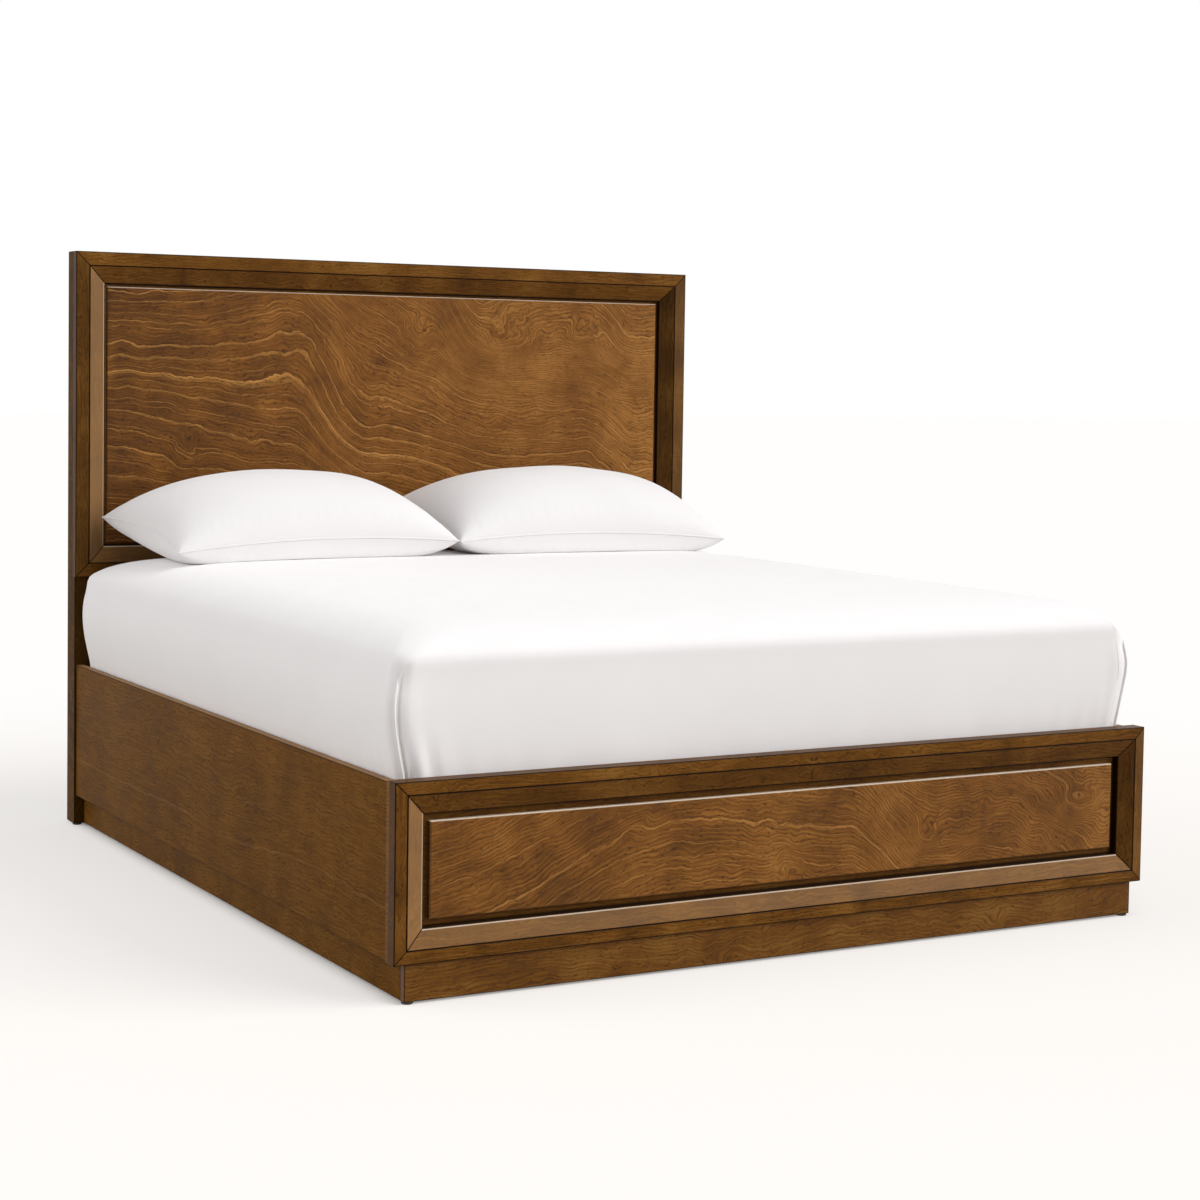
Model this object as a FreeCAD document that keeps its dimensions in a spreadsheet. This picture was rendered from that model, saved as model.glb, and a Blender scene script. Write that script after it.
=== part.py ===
import FreeCAD
import Part
import Sketcher
import os
from types import SimpleNamespace

# Panelled wooden double bed with its mattress, fitted sheet and two pillows.
# The bed stands on the floor: +X is its width, +Y points to the head, +Z is up.
# The origin lies on the floor at the centre of the bed's outline.

# Real sizes in millimetres
SIZES = {
    # Whole bed
    "headboard_height": 1516,
    "footboard_height": 432,
    "mattress_width": 1800,
    "mattress_length": 2000,
    "mattress_end_clearance": 5,
    "mattress_side_clearance": 3,
    # Headboard
    "headboard_frame_bottom": 659,
    "post_width": 80,
    "post_depth": 64,
    "post_setback": 6,
    "back_panel_thickness": 18,
    "back_panel_bottom": 300,
    "brace_height": 80,
    "headboard_band_width": 35,
    "headboard_moulding_width": 81,
    "headboard_moulding_thickness": 26,
    "headboard_bevel_depth": 17,
    "headboard_field_gap": 9,
    "headboard_field_thickness": 5,
    # Footboard
    "footboard_panel_thickness": 12,
    "footboard_band_width": 25,
    "footboard_moulding_width": 65,
    "footboard_moulding_thickness": 28,
    "footboard_bevel_depth": 13,
    "footboard_field_gap": 16,
    "footboard_field_thickness": 13,
    # Edges and grooves of the joinery
    "quirk_width": 3,
    "quirk_depth": 2.2,
    "mitre_easing": 1.5,
    "arris": 1.5,
    "field_arris": 2.5,
    # Side rails
    "rail_inset": 5,
    "rail_thickness": 22,
    "rail_top": 427,
    # Plinth
    "plinth_height": 79,
    "plinth_inset": 26,
    "plinth_setback": 8,
    "plinth_thickness": 18,
    "batten_width": 40,
    "batten_height": 20,
    "block_side": 45,
    "glide_height": 5,
    "glide_radius": 12,
    "glide_dome": 1.5,
    # Slats and what carries them
    "mattress_seat": 385,
    "slat_thickness": 16,
    "slat_width": 95,
    "slat_end_gap": 2,
    "slat_row_margin": 8,
    "slat_rounding": 4,
    "ledger_width": 25,
    "ledger_height": 40,
    "beam_width": 30,
    "beam_height": 60,
    "bracket_gauge": 3,
    "bracket_reach": 45,
    "bracket_flange": 28,
    "bracket_play": 0.5,
    # Centre legs
    "leg_side": 50,
    "leg_clearance": 25,
    "leg_spread": 620,
    "insert_radius": 7,
    "insert_length": 20,
    "stem_radius": 4,
    "stem_length": 42,
    "stem_play": 0.35,
    "pad_radius": 20,
    "pad_height": 8,
    "pad_arris": 2,
    "adjuster_travel": 15,
    "bolt_radius": 4,
    "bolt_depth": 55,
    "bolt_head_radius": 8,
    "bolt_head_height": 5,
    # Hook plates at the four corners
    "plate_width": 18,
    "plate_length": 120,
    "plate_gauge": 3,
    "plate_bottom": 190,
    "hook_thickness": 4,
    "hook_neck": 12,
    "hook_drop": 12,
    "hook_tongue": 4,
    "hook_edge": 26,
    "hook_play": 0.6,
    # Wood screws
    "screw_radius": 2,
    "screw_head_radius": 4,
    "screw_head_height": 2.6,
    "screw_tip": 4,
    "screw_play": 0.3,
    "plate_screw_length": 20,
    "plate_screw_edge": 9,
    "slat_screw_length": 34,
    "ledger_screw_length": 40,
    "ledger_screw_margin": 90,
    # Mattress and fitted sheet
    "mattress_border": 277,
    "mattress_crown": 66,
    "crown_reach": 500,
    "side_bulge": 19,
    "end_bulge": 3,
    "mattress_corner": 60,
    "bottom_rounding": 20,
    "comfort_height": 230,
    "sheet_thickness": 2,
    "sheet_tuck": 160,
    "soft_gap": 0.5,
    # Pillows
    "left_pillow_width": 784,
    "right_pillow_width": 828,
    "left_pillow_turn": 54,
    "right_pillow_turn": 15,
    "pillow_gap": 6,
    "pillow_middle": 24,
    "pillow_front": 445,
    "pillow_back": 15,
    "pillow_front_height": 30,
    "pillow_back_height": 93,
    "pillow_front_lift": 20,
    "pillow_front_draw": 10,
    "pillow_end_draw": 28,
    "pillow_rise": 163,
    "pillow_sink": 105,
    "case_thickness": 1.6,
    # How far a cutting tool runs past the wood
    "overrun": 5,
}

SLAT_COUNT = 12
LEDGER_SCREW_COUNT = 5
# What counts as nothing in a comparison of directions or places
TINY = 1e-6
LEG_ENDS = (("foot", -1), ("head", 1))
SIDES = (("left", -1), ("right", 1))

# Mattress side: share of the border's height, share of the bottom rounding
# taken off, and share of the bulge put on
BORDER_SHARES = (
    (0.00, 1.00, 0.00),
    (0.02, 0.45, 0.00),
    (0.06, 0.08, 0.00),
    (0.15, 0.00, 0.00),
    (0.30, 0.00, 0.42),
    (0.42, 0.00, 0.76),
    (0.58, 0.00, 1.00),
    (0.74, 0.00, 0.92),
    (0.88, 0.00, 0.62),
    (1.00, 0.00, 0.15),
)
# Mattress top: share of the crown's rise, and share of its reach inwards
CROWN_SHARES = (
    (0.24, 0.030),
    (0.42, 0.068),
    (0.60, 0.125),
    (0.76, 0.205),
    (0.88, 0.330),
    (0.96, 0.550),
    (1.00, 0.900),
)
# Pillow from its middle to its end: share of the half width, and share of the
# full rise and sink there
PILLOW_SHARES = (
    (0.00, 1.00),
    (0.25, 0.985),
    (0.48, 0.93),
    (0.66, 0.83),
    (0.80, 0.68),
    (0.91, 0.47),
    (1.00, 0.20),
)


class Size:
    """A length: its number in millimetres and the sheet formula behind it."""

    def __init__(self, number, formula):
        self.number = number
        self.formula = formula

    def __float__(self):
        return float(self.number)

    def __add__(self, other):
        other = as_size(other)
        return Size(self.number + other.number, f"({self.formula} + {other.formula})")

    def __sub__(self, other):
        other = as_size(other)
        return Size(self.number - other.number, f"({self.formula} - {other.formula})")

    def __mul__(self, factor):
        return Size(self.number * factor, f"({self.formula} * {factor})")

    def __truediv__(self, factor):
        return Size(self.number / factor, f"({self.formula} / {factor})")

    def __neg__(self):
        return self * -1

    __rmul__ = __mul__


def as_size(value):
    """Take a size as it is, and turn a bare zero into one."""
    if isinstance(value, Size):
        return value
    return Size(value, str(value))


def make_sheet(doc):
    """Write every size into the document's sheet, one named cell each."""
    sheet = doc.addObject("Spreadsheet::Sheet", "Sizes")
    for row, (name, value) in enumerate(SIZES.items(), start=1):
        sheet.set(f"A{row}", name.replace("_", " "))
        sheet.set(f"B{row}", str(value))
        sheet.setAlias(f"B{row}", name)
    doc.recompute()
    return sheet


def read_sizes(sheet):
    """Give each named cell of the sheet back as a size."""
    return SimpleNamespace(**{
        name: Size(float(sheet.get(name)), f"Sizes.{name}") for name in SIZES
    })


doc = FreeCAD.newDocument("Bed")
sheet = make_sheet(doc)
S = read_sizes(sheet)
ZERO = as_size(0)

# Places that many pieces share
RAIL_INNER = S.mattress_width / 2 + S.mattress_side_clearance
RAIL_CENTRE = RAIL_INNER + S.rail_thickness / 2
RAIL_OUTER = RAIL_INNER + S.rail_thickness
HALF_WIDTH = RAIL_OUTER + S.rail_inset
BED_WIDTH = HALF_WIDTH * 2
CLEAR_LENGTH = S.mattress_length + S.mattress_end_clearance * 2
FOOTBOARD_THICKNESS = S.footboard_moulding_thickness + S.footboard_panel_thickness
HEADBOARD_THICKNESS = S.post_depth + S.post_setback
BED_LENGTH = FOOTBOARD_THICKNESS + CLEAR_LENGTH + HEADBOARD_THICKNESS
FOOT_FRONT = -BED_LENGTH / 2
FOOT_BACK = FOOT_FRONT + FOOTBOARD_THICKNESS
HEAD_FRONT = FOOT_BACK + CLEAR_LENGTH
HEAD_BACK = HEAD_FRONT + HEADBOARD_THICKNESS
POST_FRONT = HEAD_FRONT + S.post_setback
HEAD_PANEL_FRONT = HEAD_FRONT + S.headboard_moulding_thickness
POST_INNER = HALF_WIDTH - S.post_width
PLINTH_OUTER = HALF_WIDTH - S.plinth_inset
PLINTH_INNER = PLINTH_OUTER - S.plinth_thickness
PLINTH_FRONT = FOOT_FRONT + S.plinth_setback
SLAT_SEAT = S.mattress_seat - S.slat_thickness
BEAM_BOTTOM = SLAT_SEAT - S.beam_height
MATTRESS_CENTRE = FOOT_BACK + CLEAR_LENGTH / 2


def point(x, y, z):
    """Make a vector from three sizes."""
    return FreeCAD.Vector(float(x), float(y), float(z))


def bind(item, formulas):
    """Tie properties of an object to the sheet."""
    for name, size in formulas.items():
        item.setExpression(name, as_size(size).formula)


def place(item, corner):
    """Tie an object's position to the sheet."""
    x, y, z = corner
    bind(item, {"Placement.Base.x": x, "Placement.Base.y": y, "Placement.Base.z": z})


def origin_plane(body, role):
    """Find one of a body's own origin planes."""
    for feature in body.Origin.OriginFeatures:
        if feature.Role == role:
            return feature
    raise ValueError(role)


def draw_outline(body, name, role, points):
    """Draw a closed outline of straight lines, each corner tied to the sheet."""
    sketch = body.newObject("Sketcher::SketchObject", name)
    sketch.AttachmentSupport = (origin_plane(body, role), [""])
    sketch.MapMode = "FlatFace"
    corners = [point(u, v, 0) for u, v in points]
    count = len(corners)
    for index in range(count):
        line = Part.LineSegment(corners[index], corners[(index + 1) % count])
        sketch.addGeometry(line, False)
    for index in range(count):
        following = (index + 1) % count
        sketch.addConstraint(Sketcher.Constraint("Coincident", index, 2, following, 1))
    for index, (u, v) in enumerate(points):
        tie_corner(sketch, index, "DistanceX", -2, u)
        tie_corner(sketch, index, "DistanceY", -1, v)
    return sketch


def tie_corner(sketch, index, kind, axis, size):
    """Hold a corner on an axis, or at a distance from it that the sheet gives."""
    size = as_size(size)
    if size.number == 0:
        sketch.addConstraint(Sketcher.Constraint("PointOnObject", index, 1, axis))
        return
    constraint = Sketcher.Constraint(kind, -1, 1, index, 1, size.number)
    number = sketch.addConstraint(constraint)
    sketch.setExpression(f"Constraints[{number}]", size.formula)


def add_prism(name, role, points, length, corner):
    """Pad an outline square to its plane and set the body down at a corner."""
    body = doc.addObject("PartDesign::Body", name)
    sketch = draw_outline(body, name + "_outline", role, points)
    pad = body.newObject("PartDesign::Pad", name + "_pad")
    pad.Profile = sketch
    bind(pad, {"Length": length})
    place(body, corner)
    return body


def ease_edges(body, name, wanted, size):
    """Chamfer the edges of a body that a test picks out."""
    doc.recompute()
    base = body.Tip
    names = [
        f"Edge{number}" for number, edge in enumerate(base.Shape.Edges, start=1)
        if wanted(edge, base.Shape.BoundBox)
    ]
    chamfer = body.newObject("PartDesign::Chamfer", name + "_easing")
    chamfer.Base = (base, names)
    bind(chamfer, {"Size": size})
    return body


def runs_along(edge, axis):
    """Tell whether an edge is parallel to an axis."""
    direction = edge.tangentAt(edge.FirstParameter)
    return abs(abs(direction.dot(axis)) - 1) < TINY


def along_x(edge, box):
    return runs_along(edge, FreeCAD.Vector(1, 0, 0))


def along_y(edge, box):
    return runs_along(edge, FreeCAD.Vector(0, 1, 0))


def along_z(edge, box):
    return runs_along(edge, FreeCAD.Vector(0, 0, 1))


def round_front(edge, box):
    """Pick the four edges of the face that looks to the foot of the bed."""
    return edge.BoundBox.YMax < box.YMin + TINY


def add_board(name, corner, extent, eased=None, easing=None):
    """Saw a board to size, ease the edges asked for, and lay it in its place."""
    length, depth, height = extent
    outline = ((ZERO, ZERO), (length, ZERO), (length, depth), (ZERO, depth))
    board = add_prism(name, "XY_Plane", outline, height, corner)
    if eased:
        ease_edges(board, name, eased, easing)
    return board


def add_box(name, corner, extent):
    """Make a plain box for cutting or joining."""
    box = doc.addObject("Part::Box", name)
    bind(box, {"Length": extent[0], "Width": extent[1], "Height": extent[2]})
    place(box, corner)
    return box


def add_cylinder(name, base, radius, height):
    """Make an upright cylinder for cutting or joining."""
    cylinder = doc.addObject("Part::Cylinder", name)
    bind(cylinder, {"Radius": radius, "Height": height})
    place(cylinder, base)
    return cylinder


def cut_away(name, base, tools):
    """Cut tools out of a base and check that they took wood away."""
    group = doc.addObject("Part::Compound", name + "_tools")
    group.Links = tools
    cut = doc.addObject("Part::Cut", name)
    cut.Base = base
    cut.Tool = group
    doc.recompute()
    if cut.Shape.Volume >= base.Shape.Volume:
        raise ValueError(f"{name} lost nothing to its cuts")
    return cut


def join_pieces(name, pieces):
    """Join pieces that are made as one."""
    fused = doc.addObject("Part::MultiFuse", name)
    fused.Shapes = pieces
    doc.recompute()
    return fused


def add_shape(name, shape):
    """Keep a shape that was made with geometry functions as an object."""
    feature = doc.addObject("Part::Feature", name)
    feature.Shape = shape
    return feature


def turned_copy(shape, tip, direction):
    """Copy an upright shape with its foot at a point, looking along a direction."""
    copy = shape.copy()
    turn = FreeCAD.Rotation(FreeCAD.Vector(0, 0, 1), direction)
    copy.Placement = FreeCAD.Placement(tip, turn)
    return copy


# Fasteners


def add_turned(name, outline):
    """Turn a half outline about the upright axis."""
    body = doc.addObject("PartDesign::Body", name)
    sketch = draw_outline(body, name + "_outline", "XZ_Plane", outline)
    turning = body.newObject("PartDesign::Revolution", name + "_turning")
    turning.Profile = sketch
    turning.ReferenceAxis = (sketch, ["V_Axis"])
    turning.Angle = 360
    doc.recompute()
    return body


def add_screw(name, length):
    """Make a countersunk wood screw, tip at the origin and head up."""
    return add_turned(name, (
        (ZERO, ZERO),
        (S.screw_radius, S.screw_tip),
        (S.screw_radius, length - S.screw_head_height),
        (S.screw_head_radius, length),
        (ZERO, length),
    ))


def add_screw_drill(name, length):
    """Make the hole of a countersunk screw, a little wider all round."""
    radius = S.screw_radius + S.screw_play
    head = S.screw_head_radius + S.screw_play
    top = length + S.screw_play
    return add_turned(name, (
        (ZERO, ZERO),
        (radius, S.screw_tip),
        (radius, top - S.screw_head_height - S.screw_play),
        (head, top - S.screw_play),
        (head, top + S.overrun),
        (ZERO, top + S.overrun),
    ))


class ScrewSet:
    """Screws of one length: the places of their heads and their holes."""

    def __init__(self, name, length):
        self.name = name
        self.length = length
        self.screw = add_screw(name + "_master", length)
        self.drill = add_screw_drill(name + "_drill", length)
        self.spots = []

    def add(self, head, out):
        """Put a screw in, its head at a point and looking out along a direction."""
        self.spots.append((point(*head), FreeCAD.Vector(*out)))

    def bodies(self):
        """Give the screws in their places as one group of solids."""
        return Part.makeCompound([
            turned_copy(self.screw.Shape, head - out * float(self.length), out)
            for head, out in self.spots
        ])

    def holes(self, piece):
        """Give the holes that reach into a piece, as one object for cutting."""
        reach = float(self.length + S.screw_play)
        box = piece.Shape.BoundBox
        box.enlarge(float(S.screw_play))
        drills = []
        for head, out in self.spots:
            drill = turned_copy(self.drill.Shape, head - out * reach, out)
            if box.intersect(drill.BoundBox):
                drills.append(drill)
        return add_shape(f"{self.name}_in_{piece.Name}", Part.makeCompound(drills))


# Mitred mouldings


def moulding_points(width, band, bevel, thickness, front_drop):
    """List a moulding's outline: distance from its outer edge, and depth.

    The front points sink by front_drop, which eases the joint at a mitre.
    """
    return [
        (ZERO, thickness),
        (ZERO, S.arris + front_drop),
        (S.arris, front_drop),
        (band, front_drop),
        (band + S.quirk_width / 2, S.quirk_depth + front_drop),
        (band + S.quirk_width, front_drop),
        (width, bevel + front_drop),
        (width, thickness),
    ]


def mitred_moulding(start, run, inwards, length, sizes):
    """Build one side of a mitred frame from four outlines along its run."""
    plain = moulding_points(*sizes, ZERO)
    sunk = moulding_points(*sizes, S.mitre_easing)
    stations = (
        (sunk, lambda width: width),
        (plain, lambda width: width + S.mitre_easing),
        (plain, lambda width: length - width - S.mitre_easing),
        (sunk, lambda width: length - width),
    )
    backwards = FreeCAD.Vector(0, 1, 0)
    rings = [
        [
            start + run * float(along(width)) + inwards * float(width) + backwards * float(depth)
            for width, depth in outline
        ]
        for outline, along in stations
    ]
    return solid_from_rings(rings)


def solid_from_rings(rings):
    """Close a solid of flat faces round a row of rings with equal corners."""
    count = len(rings[0])
    faces = [flat_face(rings[0]), flat_face(rings[-1])]
    for near, far in zip(rings, rings[1:]):
        for index in range(count):
            following = (index + 1) % count
            faces.append(flat_face(
                [near[index], near[following], far[following], far[index]]))
    solid = Part.makeSolid(Part.makeShell(faces))
    if solid.Volume < 0:
        solid.reverse()
    return solid


def flat_face(corners):
    """Make a flat face from its corners."""
    return Part.Face(Part.makePolygon(corners + corners[:1]))


def add_frame(prefix, front, bottom, top, sizes, drilled=()):
    """Make the four mitred mouldings of a board; those to be drilled are blanks."""
    right = FreeCAD.Vector(1, 0, 0)
    up = FreeCAD.Vector(0, 0, 1)
    width = BED_WIDTH
    height = top - bottom
    low_left = point(-HALF_WIDTH, front, bottom)
    low_right = point(HALF_WIDTH, front, bottom)
    high_left = point(-HALF_WIDTH, front, top)
    runs = {
        "top": (high_left, right, -up, width),
        "bottom": (low_left, right, up, width),
        "left": (low_left, up, right, height),
        "right": (low_right, up, -right, height),
    }
    for side, (start, run, inwards, length) in runs.items():
        shape = mitred_moulding(start, run, inwards, length, sizes)
        name = f"{prefix}_moulding_{side}"
        if side in drilled:
            blanks[name] = add_shape(name + "_blank", shape)
        else:
            add_shape(name, shape)


def add_field(name, front, thickness, bottom, top, margin):
    """Make the raised veneered field inside a board's frame."""
    width = (HALF_WIDTH - margin) * 2
    corner = (-(HALF_WIDTH - margin), front, bottom + margin)
    extent = (width, thickness, top - bottom - margin * 2)
    return add_board(name, corner, extent, round_front, S.field_arris)


# Soft forms


def rounded_ring(half_x, half_y, radius, centre_y, z):
    """Draw a level rectangle with round corners as four lines and four arcs."""
    edges = []
    middle = radius * (1 - 0.5 ** 0.5)
    for sign_x, sign_y in ((1, -1), (1, 1), (-1, 1), (-1, -1)):
        def corner(x, y):
            return FreeCAD.Vector(sign_x * (half_x - x), centre_y + sign_y * (half_y - y), z)
        on_side = corner(0, radius)
        on_end = corner(radius, 0)
        waist = corner(middle, middle)
        ends = (on_end, on_side) if sign_x * sign_y < 0 else (on_side, on_end)
        edges.append((ends[0], waist, ends[1]))
    parts = []
    for index, (first, waist, last) in enumerate(edges):
        following = edges[(index + 1) % len(edges)][0]
        parts.append(Part.Arc(first, waist, last).toShape())
        parts.append(Part.LineSegment(last, following).toShape())
    return Part.Wire(parts)


def mattress_form(inset):
    """Loft the mattress's outer form: straight foot, bulging sides, low crown.

    A positive inset draws the whole form in, and a negative one swells it.
    """
    inset = float(inset)
    half_x = float(S.mattress_width / 2) - inset
    half_y = float(S.mattress_length / 2) - inset
    centre = float(MATTRESS_CENTRE)
    bottom = float(S.mattress_seat + S.soft_gap) + inset
    border = float(S.mattress_border) - inset
    crown = float(S.mattress_crown) - inset
    corner = float(S.mattress_corner) - inset
    rings = []
    for height, rounding, bulge in BORDER_SHARES:
        taken = float(S.bottom_rounding) * rounding
        out_x = float(S.side_bulge) * bulge - taken
        out_y = float(S.end_bulge) * bulge - taken
        rings.append(rounded_ring(
            half_x + out_x, half_y + out_y, corner - taken / 2, centre, bottom + border * height))
    for rise, inwards in CROWN_SHARES:
        taken = float(S.crown_reach) * inwards
        rings.append(rounded_ring(
            half_x - taken, half_y - taken, corner + taken / 2, centre,
            bottom + border + crown * rise))
    return Part.makeLoft(rings, True, True)


def slab(bottom, top):
    """Make a slab wider than the bed between two heights."""
    reach = BED_LENGTH + BED_WIDTH
    corner = point(-reach / 2, -reach / 2, bottom)
    return Part.makeBox(float(reach), float(reach), float(top - bottom), corner)


def pillow_form(middle, width, turn, inset):
    """Loft a pillow along the bed's width and draw its two ends in.

    Each section is a lens of two arcs that meet at the seam, low at the front
    and high at the back. The turn sets the back that far to the right of the
    front.
    """
    inset = float(inset)
    turn = float(turn)
    half = float(width / 2) - inset
    front = float(HEAD_FRONT - S.pillow_front) + inset
    back = float(HEAD_FRONT - S.pillow_back) - inset
    floor = float(S.mattress_seat + S.mattress_border + S.mattress_crown)
    low = floor + float(S.pillow_front_height)
    high = floor + float(S.pillow_back_height)
    rise = float(S.pillow_rise) - inset
    sink = float(S.pillow_sink) - inset
    ends = [(-place, fullness) for place, fullness in reversed(PILLOW_SHARES[1:])]
    sections = []
    for place, fullness in ends + list(PILLOW_SHARES):
        drawn = 1 - place * place
        x = float(middle) + half * place
        seam_front = FreeCAD.Vector(
            x - turn / 2, front + float(S.pillow_front_draw) * drawn,
            low + float(S.pillow_front_lift) * drawn)
        seam_back = FreeCAD.Vector(x + turn / 2, back, high)
        centre = (seam_front + seam_back) * 0.5
        top = centre + FreeCAD.Vector(0, 0, rise * fullness)
        bottom = centre - FreeCAD.Vector(0, 0, sink * fullness)
        sections.append(Part.Wire([
            Part.Arc(seam_front, top, seam_back).toShape(),
            Part.Arc(seam_back, bottom, seam_front).toShape(),
        ]))
    form = Part.makeLoft(sections, True, True)
    depth = float(S.pillow_front - S.pillow_back)
    draw = float(S.pillow_end_draw)
    radius = (depth * depth / 4 + draw * draw) / (2 * draw)
    tall = float(S.headboard_height)
    end_line = FreeCAD.Vector(turn, back - front, 0).normalize()
    outwards = FreeCAD.Vector(end_line.y, -end_line.x, 0)
    for sign in (-1, 1):
        end = FreeCAD.Vector(float(middle) + sign * half, (front + back) / 2, 0)
        axis = end + outwards * (sign * (radius - draw))
        form = form.cut(Part.makeCylinder(radius, tall, axis))
    return form


# Headboard


def make_headboard():
    """Two posts, a back panel with its braces, a mitred frame and the field."""
    bottom = S.headboard_frame_bottom
    depth = HEAD_BACK - POST_FRONT
    rebate = HEAD_PANEL_FRONT - POST_FRONT
    for side, sign in SIDES:
        start = -HALF_WIDTH if sign < 0 else POST_INNER
        name = "headboard_post_" + side
        outline = (
            (ZERO, ZERO),
            (depth, ZERO),
            (depth, S.headboard_height - S.glide_height),
            (rebate, S.headboard_height - S.glide_height),
            (rebate, bottom - S.glide_height),
            (ZERO, bottom - S.glide_height),
        )
        post = add_prism(
            name + "_blank", "YZ_Plane", outline, S.post_width, (start, POST_FRONT, S.glide_height))
        blanks[name] = ease_edges(post, name, along_z, S.arris)
    panel_width = POST_INNER * 2
    braces_front = HEAD_PANEL_FRONT + S.back_panel_thickness
    brace_depth = HEAD_BACK - braces_front
    add_board("headboard_back_panel", (-POST_INNER, HEAD_PANEL_FRONT, S.back_panel_bottom),
              (panel_width, S.back_panel_thickness, S.headboard_height - S.back_panel_bottom))
    add_board("headboard_top_brace",
              (-POST_INNER, braces_front, S.headboard_height - S.brace_height),
              (panel_width, brace_depth, S.brace_height), along_x, S.arris)
    add_board("headboard_lower_brace", (-POST_INNER, braces_front, bottom),
              (panel_width, brace_depth, S.brace_height), along_x, S.arris)
    blanks["headboard_base_rail"] = add_board(
        "headboard_base_rail_blank", (-POST_INNER, POST_FRONT, S.back_panel_bottom),
        (panel_width, rebate, S.rail_top - S.back_panel_bottom), along_x, S.arris)
    sizes = (S.headboard_moulding_width, S.headboard_band_width,
             S.headboard_bevel_depth, S.headboard_moulding_thickness)
    add_frame("headboard", HEAD_FRONT, bottom, S.headboard_height, sizes)
    add_field("headboard_field_panel", HEAD_PANEL_FRONT - S.headboard_field_thickness,
              S.headboard_field_thickness, bottom, S.headboard_height,
              S.headboard_moulding_width + S.headboard_field_gap)


# Footboard


def make_footboard():
    """A back panel with a mitred frame and a raised field before it."""
    bottom = S.plinth_height
    panel_front = FOOT_FRONT + S.footboard_moulding_thickness
    blanks["footboard_back_panel"] = add_board(
        "footboard_back_panel_blank", (-HALF_WIDTH, panel_front, bottom),
        (BED_WIDTH, S.footboard_panel_thickness, S.footboard_height - bottom),
        along_x, S.arris)
    sizes = (S.footboard_moulding_width, S.footboard_band_width,
             S.footboard_bevel_depth, S.footboard_moulding_thickness)
    add_frame("footboard", FOOT_FRONT, bottom, S.footboard_height, sizes, ("left", "right"))
    blanks["footboard_field_panel"] = add_field(
        "footboard_field_panel_blank", panel_front - S.footboard_field_thickness,
        S.footboard_field_thickness, bottom, S.footboard_height,
        S.footboard_moulding_width + S.footboard_field_gap)


# Side rails, ledgers and plinth


def mirrored_start(sign, inner, outer):
    """Give the lower X of a piece that lies between two distances from the middle."""
    return inner if sign > 0 else -outer


def make_sides():
    """Rails, the ledgers that carry the slats, and the recessed plinth."""
    length = POST_FRONT - FOOT_BACK
    plinth_start = PLINTH_FRONT + S.plinth_thickness
    plinth_length = POST_FRONT - plinth_start
    plinth_tall = S.plinth_height - S.glide_height
    for side, sign in SIDES:
        rail_start = mirrored_start(sign, RAIL_INNER, RAIL_OUTER)
        blanks["side_rail_" + side] = add_board(
            f"side_rail_{side}_blank", (rail_start, FOOT_BACK, S.plinth_height),
            (S.rail_thickness, length, S.rail_top - S.plinth_height), along_y, S.arris)
        ledger_inner = RAIL_INNER - S.ledger_width
        ledger_start = mirrored_start(sign, ledger_inner, RAIL_INNER)
        blanks["slat_ledger_" + side] = add_board(
            f"slat_ledger_{side}_blank", (ledger_start, FOOT_BACK, SLAT_SEAT - S.ledger_height),
            (S.ledger_width, length, S.ledger_height), along_y, S.arris)
        batten_start = mirrored_start(sign, RAIL_INNER - S.batten_width, RAIL_INNER)
        add_board("plinth_batten_" + side, (batten_start, FOOT_BACK, S.plinth_height),
                  (S.batten_width, length, S.batten_height), along_y, S.arris)
        plinth_side = mirrored_start(sign, PLINTH_INNER, PLINTH_OUTER)
        add_board("plinth_" + side, (plinth_side, plinth_start, S.glide_height),
                  (S.plinth_thickness, plinth_length, plinth_tall), along_y, S.arris)
    add_board("plinth_front", (-PLINTH_OUTER, PLINTH_FRONT, S.glide_height),
              (PLINTH_OUTER * 2, S.plinth_thickness, plinth_tall), along_x, S.arris)
    blocks = []
    for side, sign in SIDES:
        start = mirrored_start(sign, PLINTH_INNER - S.block_side, PLINTH_INNER)
        for end, y in (("foot", plinth_start), ("head", POST_FRONT - S.block_side)):
            blocks.append(add_box(f"corner_block_{side}_{end}", (start, y, S.glide_height),
                                  (S.block_side, S.block_side, plinth_tall)))
    group = doc.addObject("Part::Compound", "plinth_corner_blocks")
    group.Links = blocks


def place_ledger_screws(screws):
    """Screws through each ledger into its rail, evenly spaced."""
    first = FOOT_BACK + S.ledger_screw_margin
    span = POST_FRONT - S.ledger_screw_margin - first
    z = SLAT_SEAT - S.ledger_height / 2
    for side, sign in SIDES:
        for step in range(LEDGER_SCREW_COUNT):
            y = first + span * step / (LEDGER_SCREW_COUNT - 1)
            screws.add(((RAIL_INNER - S.ledger_width) * sign, y, z), (-sign, 0, 0))


def make_glides():
    """Round glides under the posts and the plinth."""
    glide = add_turned("glide_master", (
        (ZERO, ZERO),
        (S.glide_radius - S.glide_dome, ZERO),
        (S.glide_radius, S.glide_dome),
        (S.glide_radius, S.glide_height),
        (ZERO, S.glide_height),
    ))
    side_x = PLINTH_INNER - S.block_side / 2
    foot_y = PLINTH_FRONT + S.plinth_thickness + S.block_side / 2
    post_x = HALF_WIDTH - S.post_width / 2
    post_y = POST_FRONT + S.post_depth / 2
    edge_x = PLINTH_OUTER - S.glide_radius
    edge_y = PLINTH_FRONT + S.glide_radius
    spots = []
    for side, sign in SIDES:
        spots += [
            (side_x * sign, foot_y),
            (edge_x * sign, edge_y),
            (post_x * sign, post_y),
            ((HALF_WIDTH - S.glide_radius) * sign, POST_FRONT + S.glide_radius),
        ]
    add_shape("floor_glides", Part.makeCompound([
        turned_copy(glide.Shape, point(x, y, ZERO), FreeCAD.Vector(0, 0, 1)) for x, y in spots
    ]))


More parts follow.
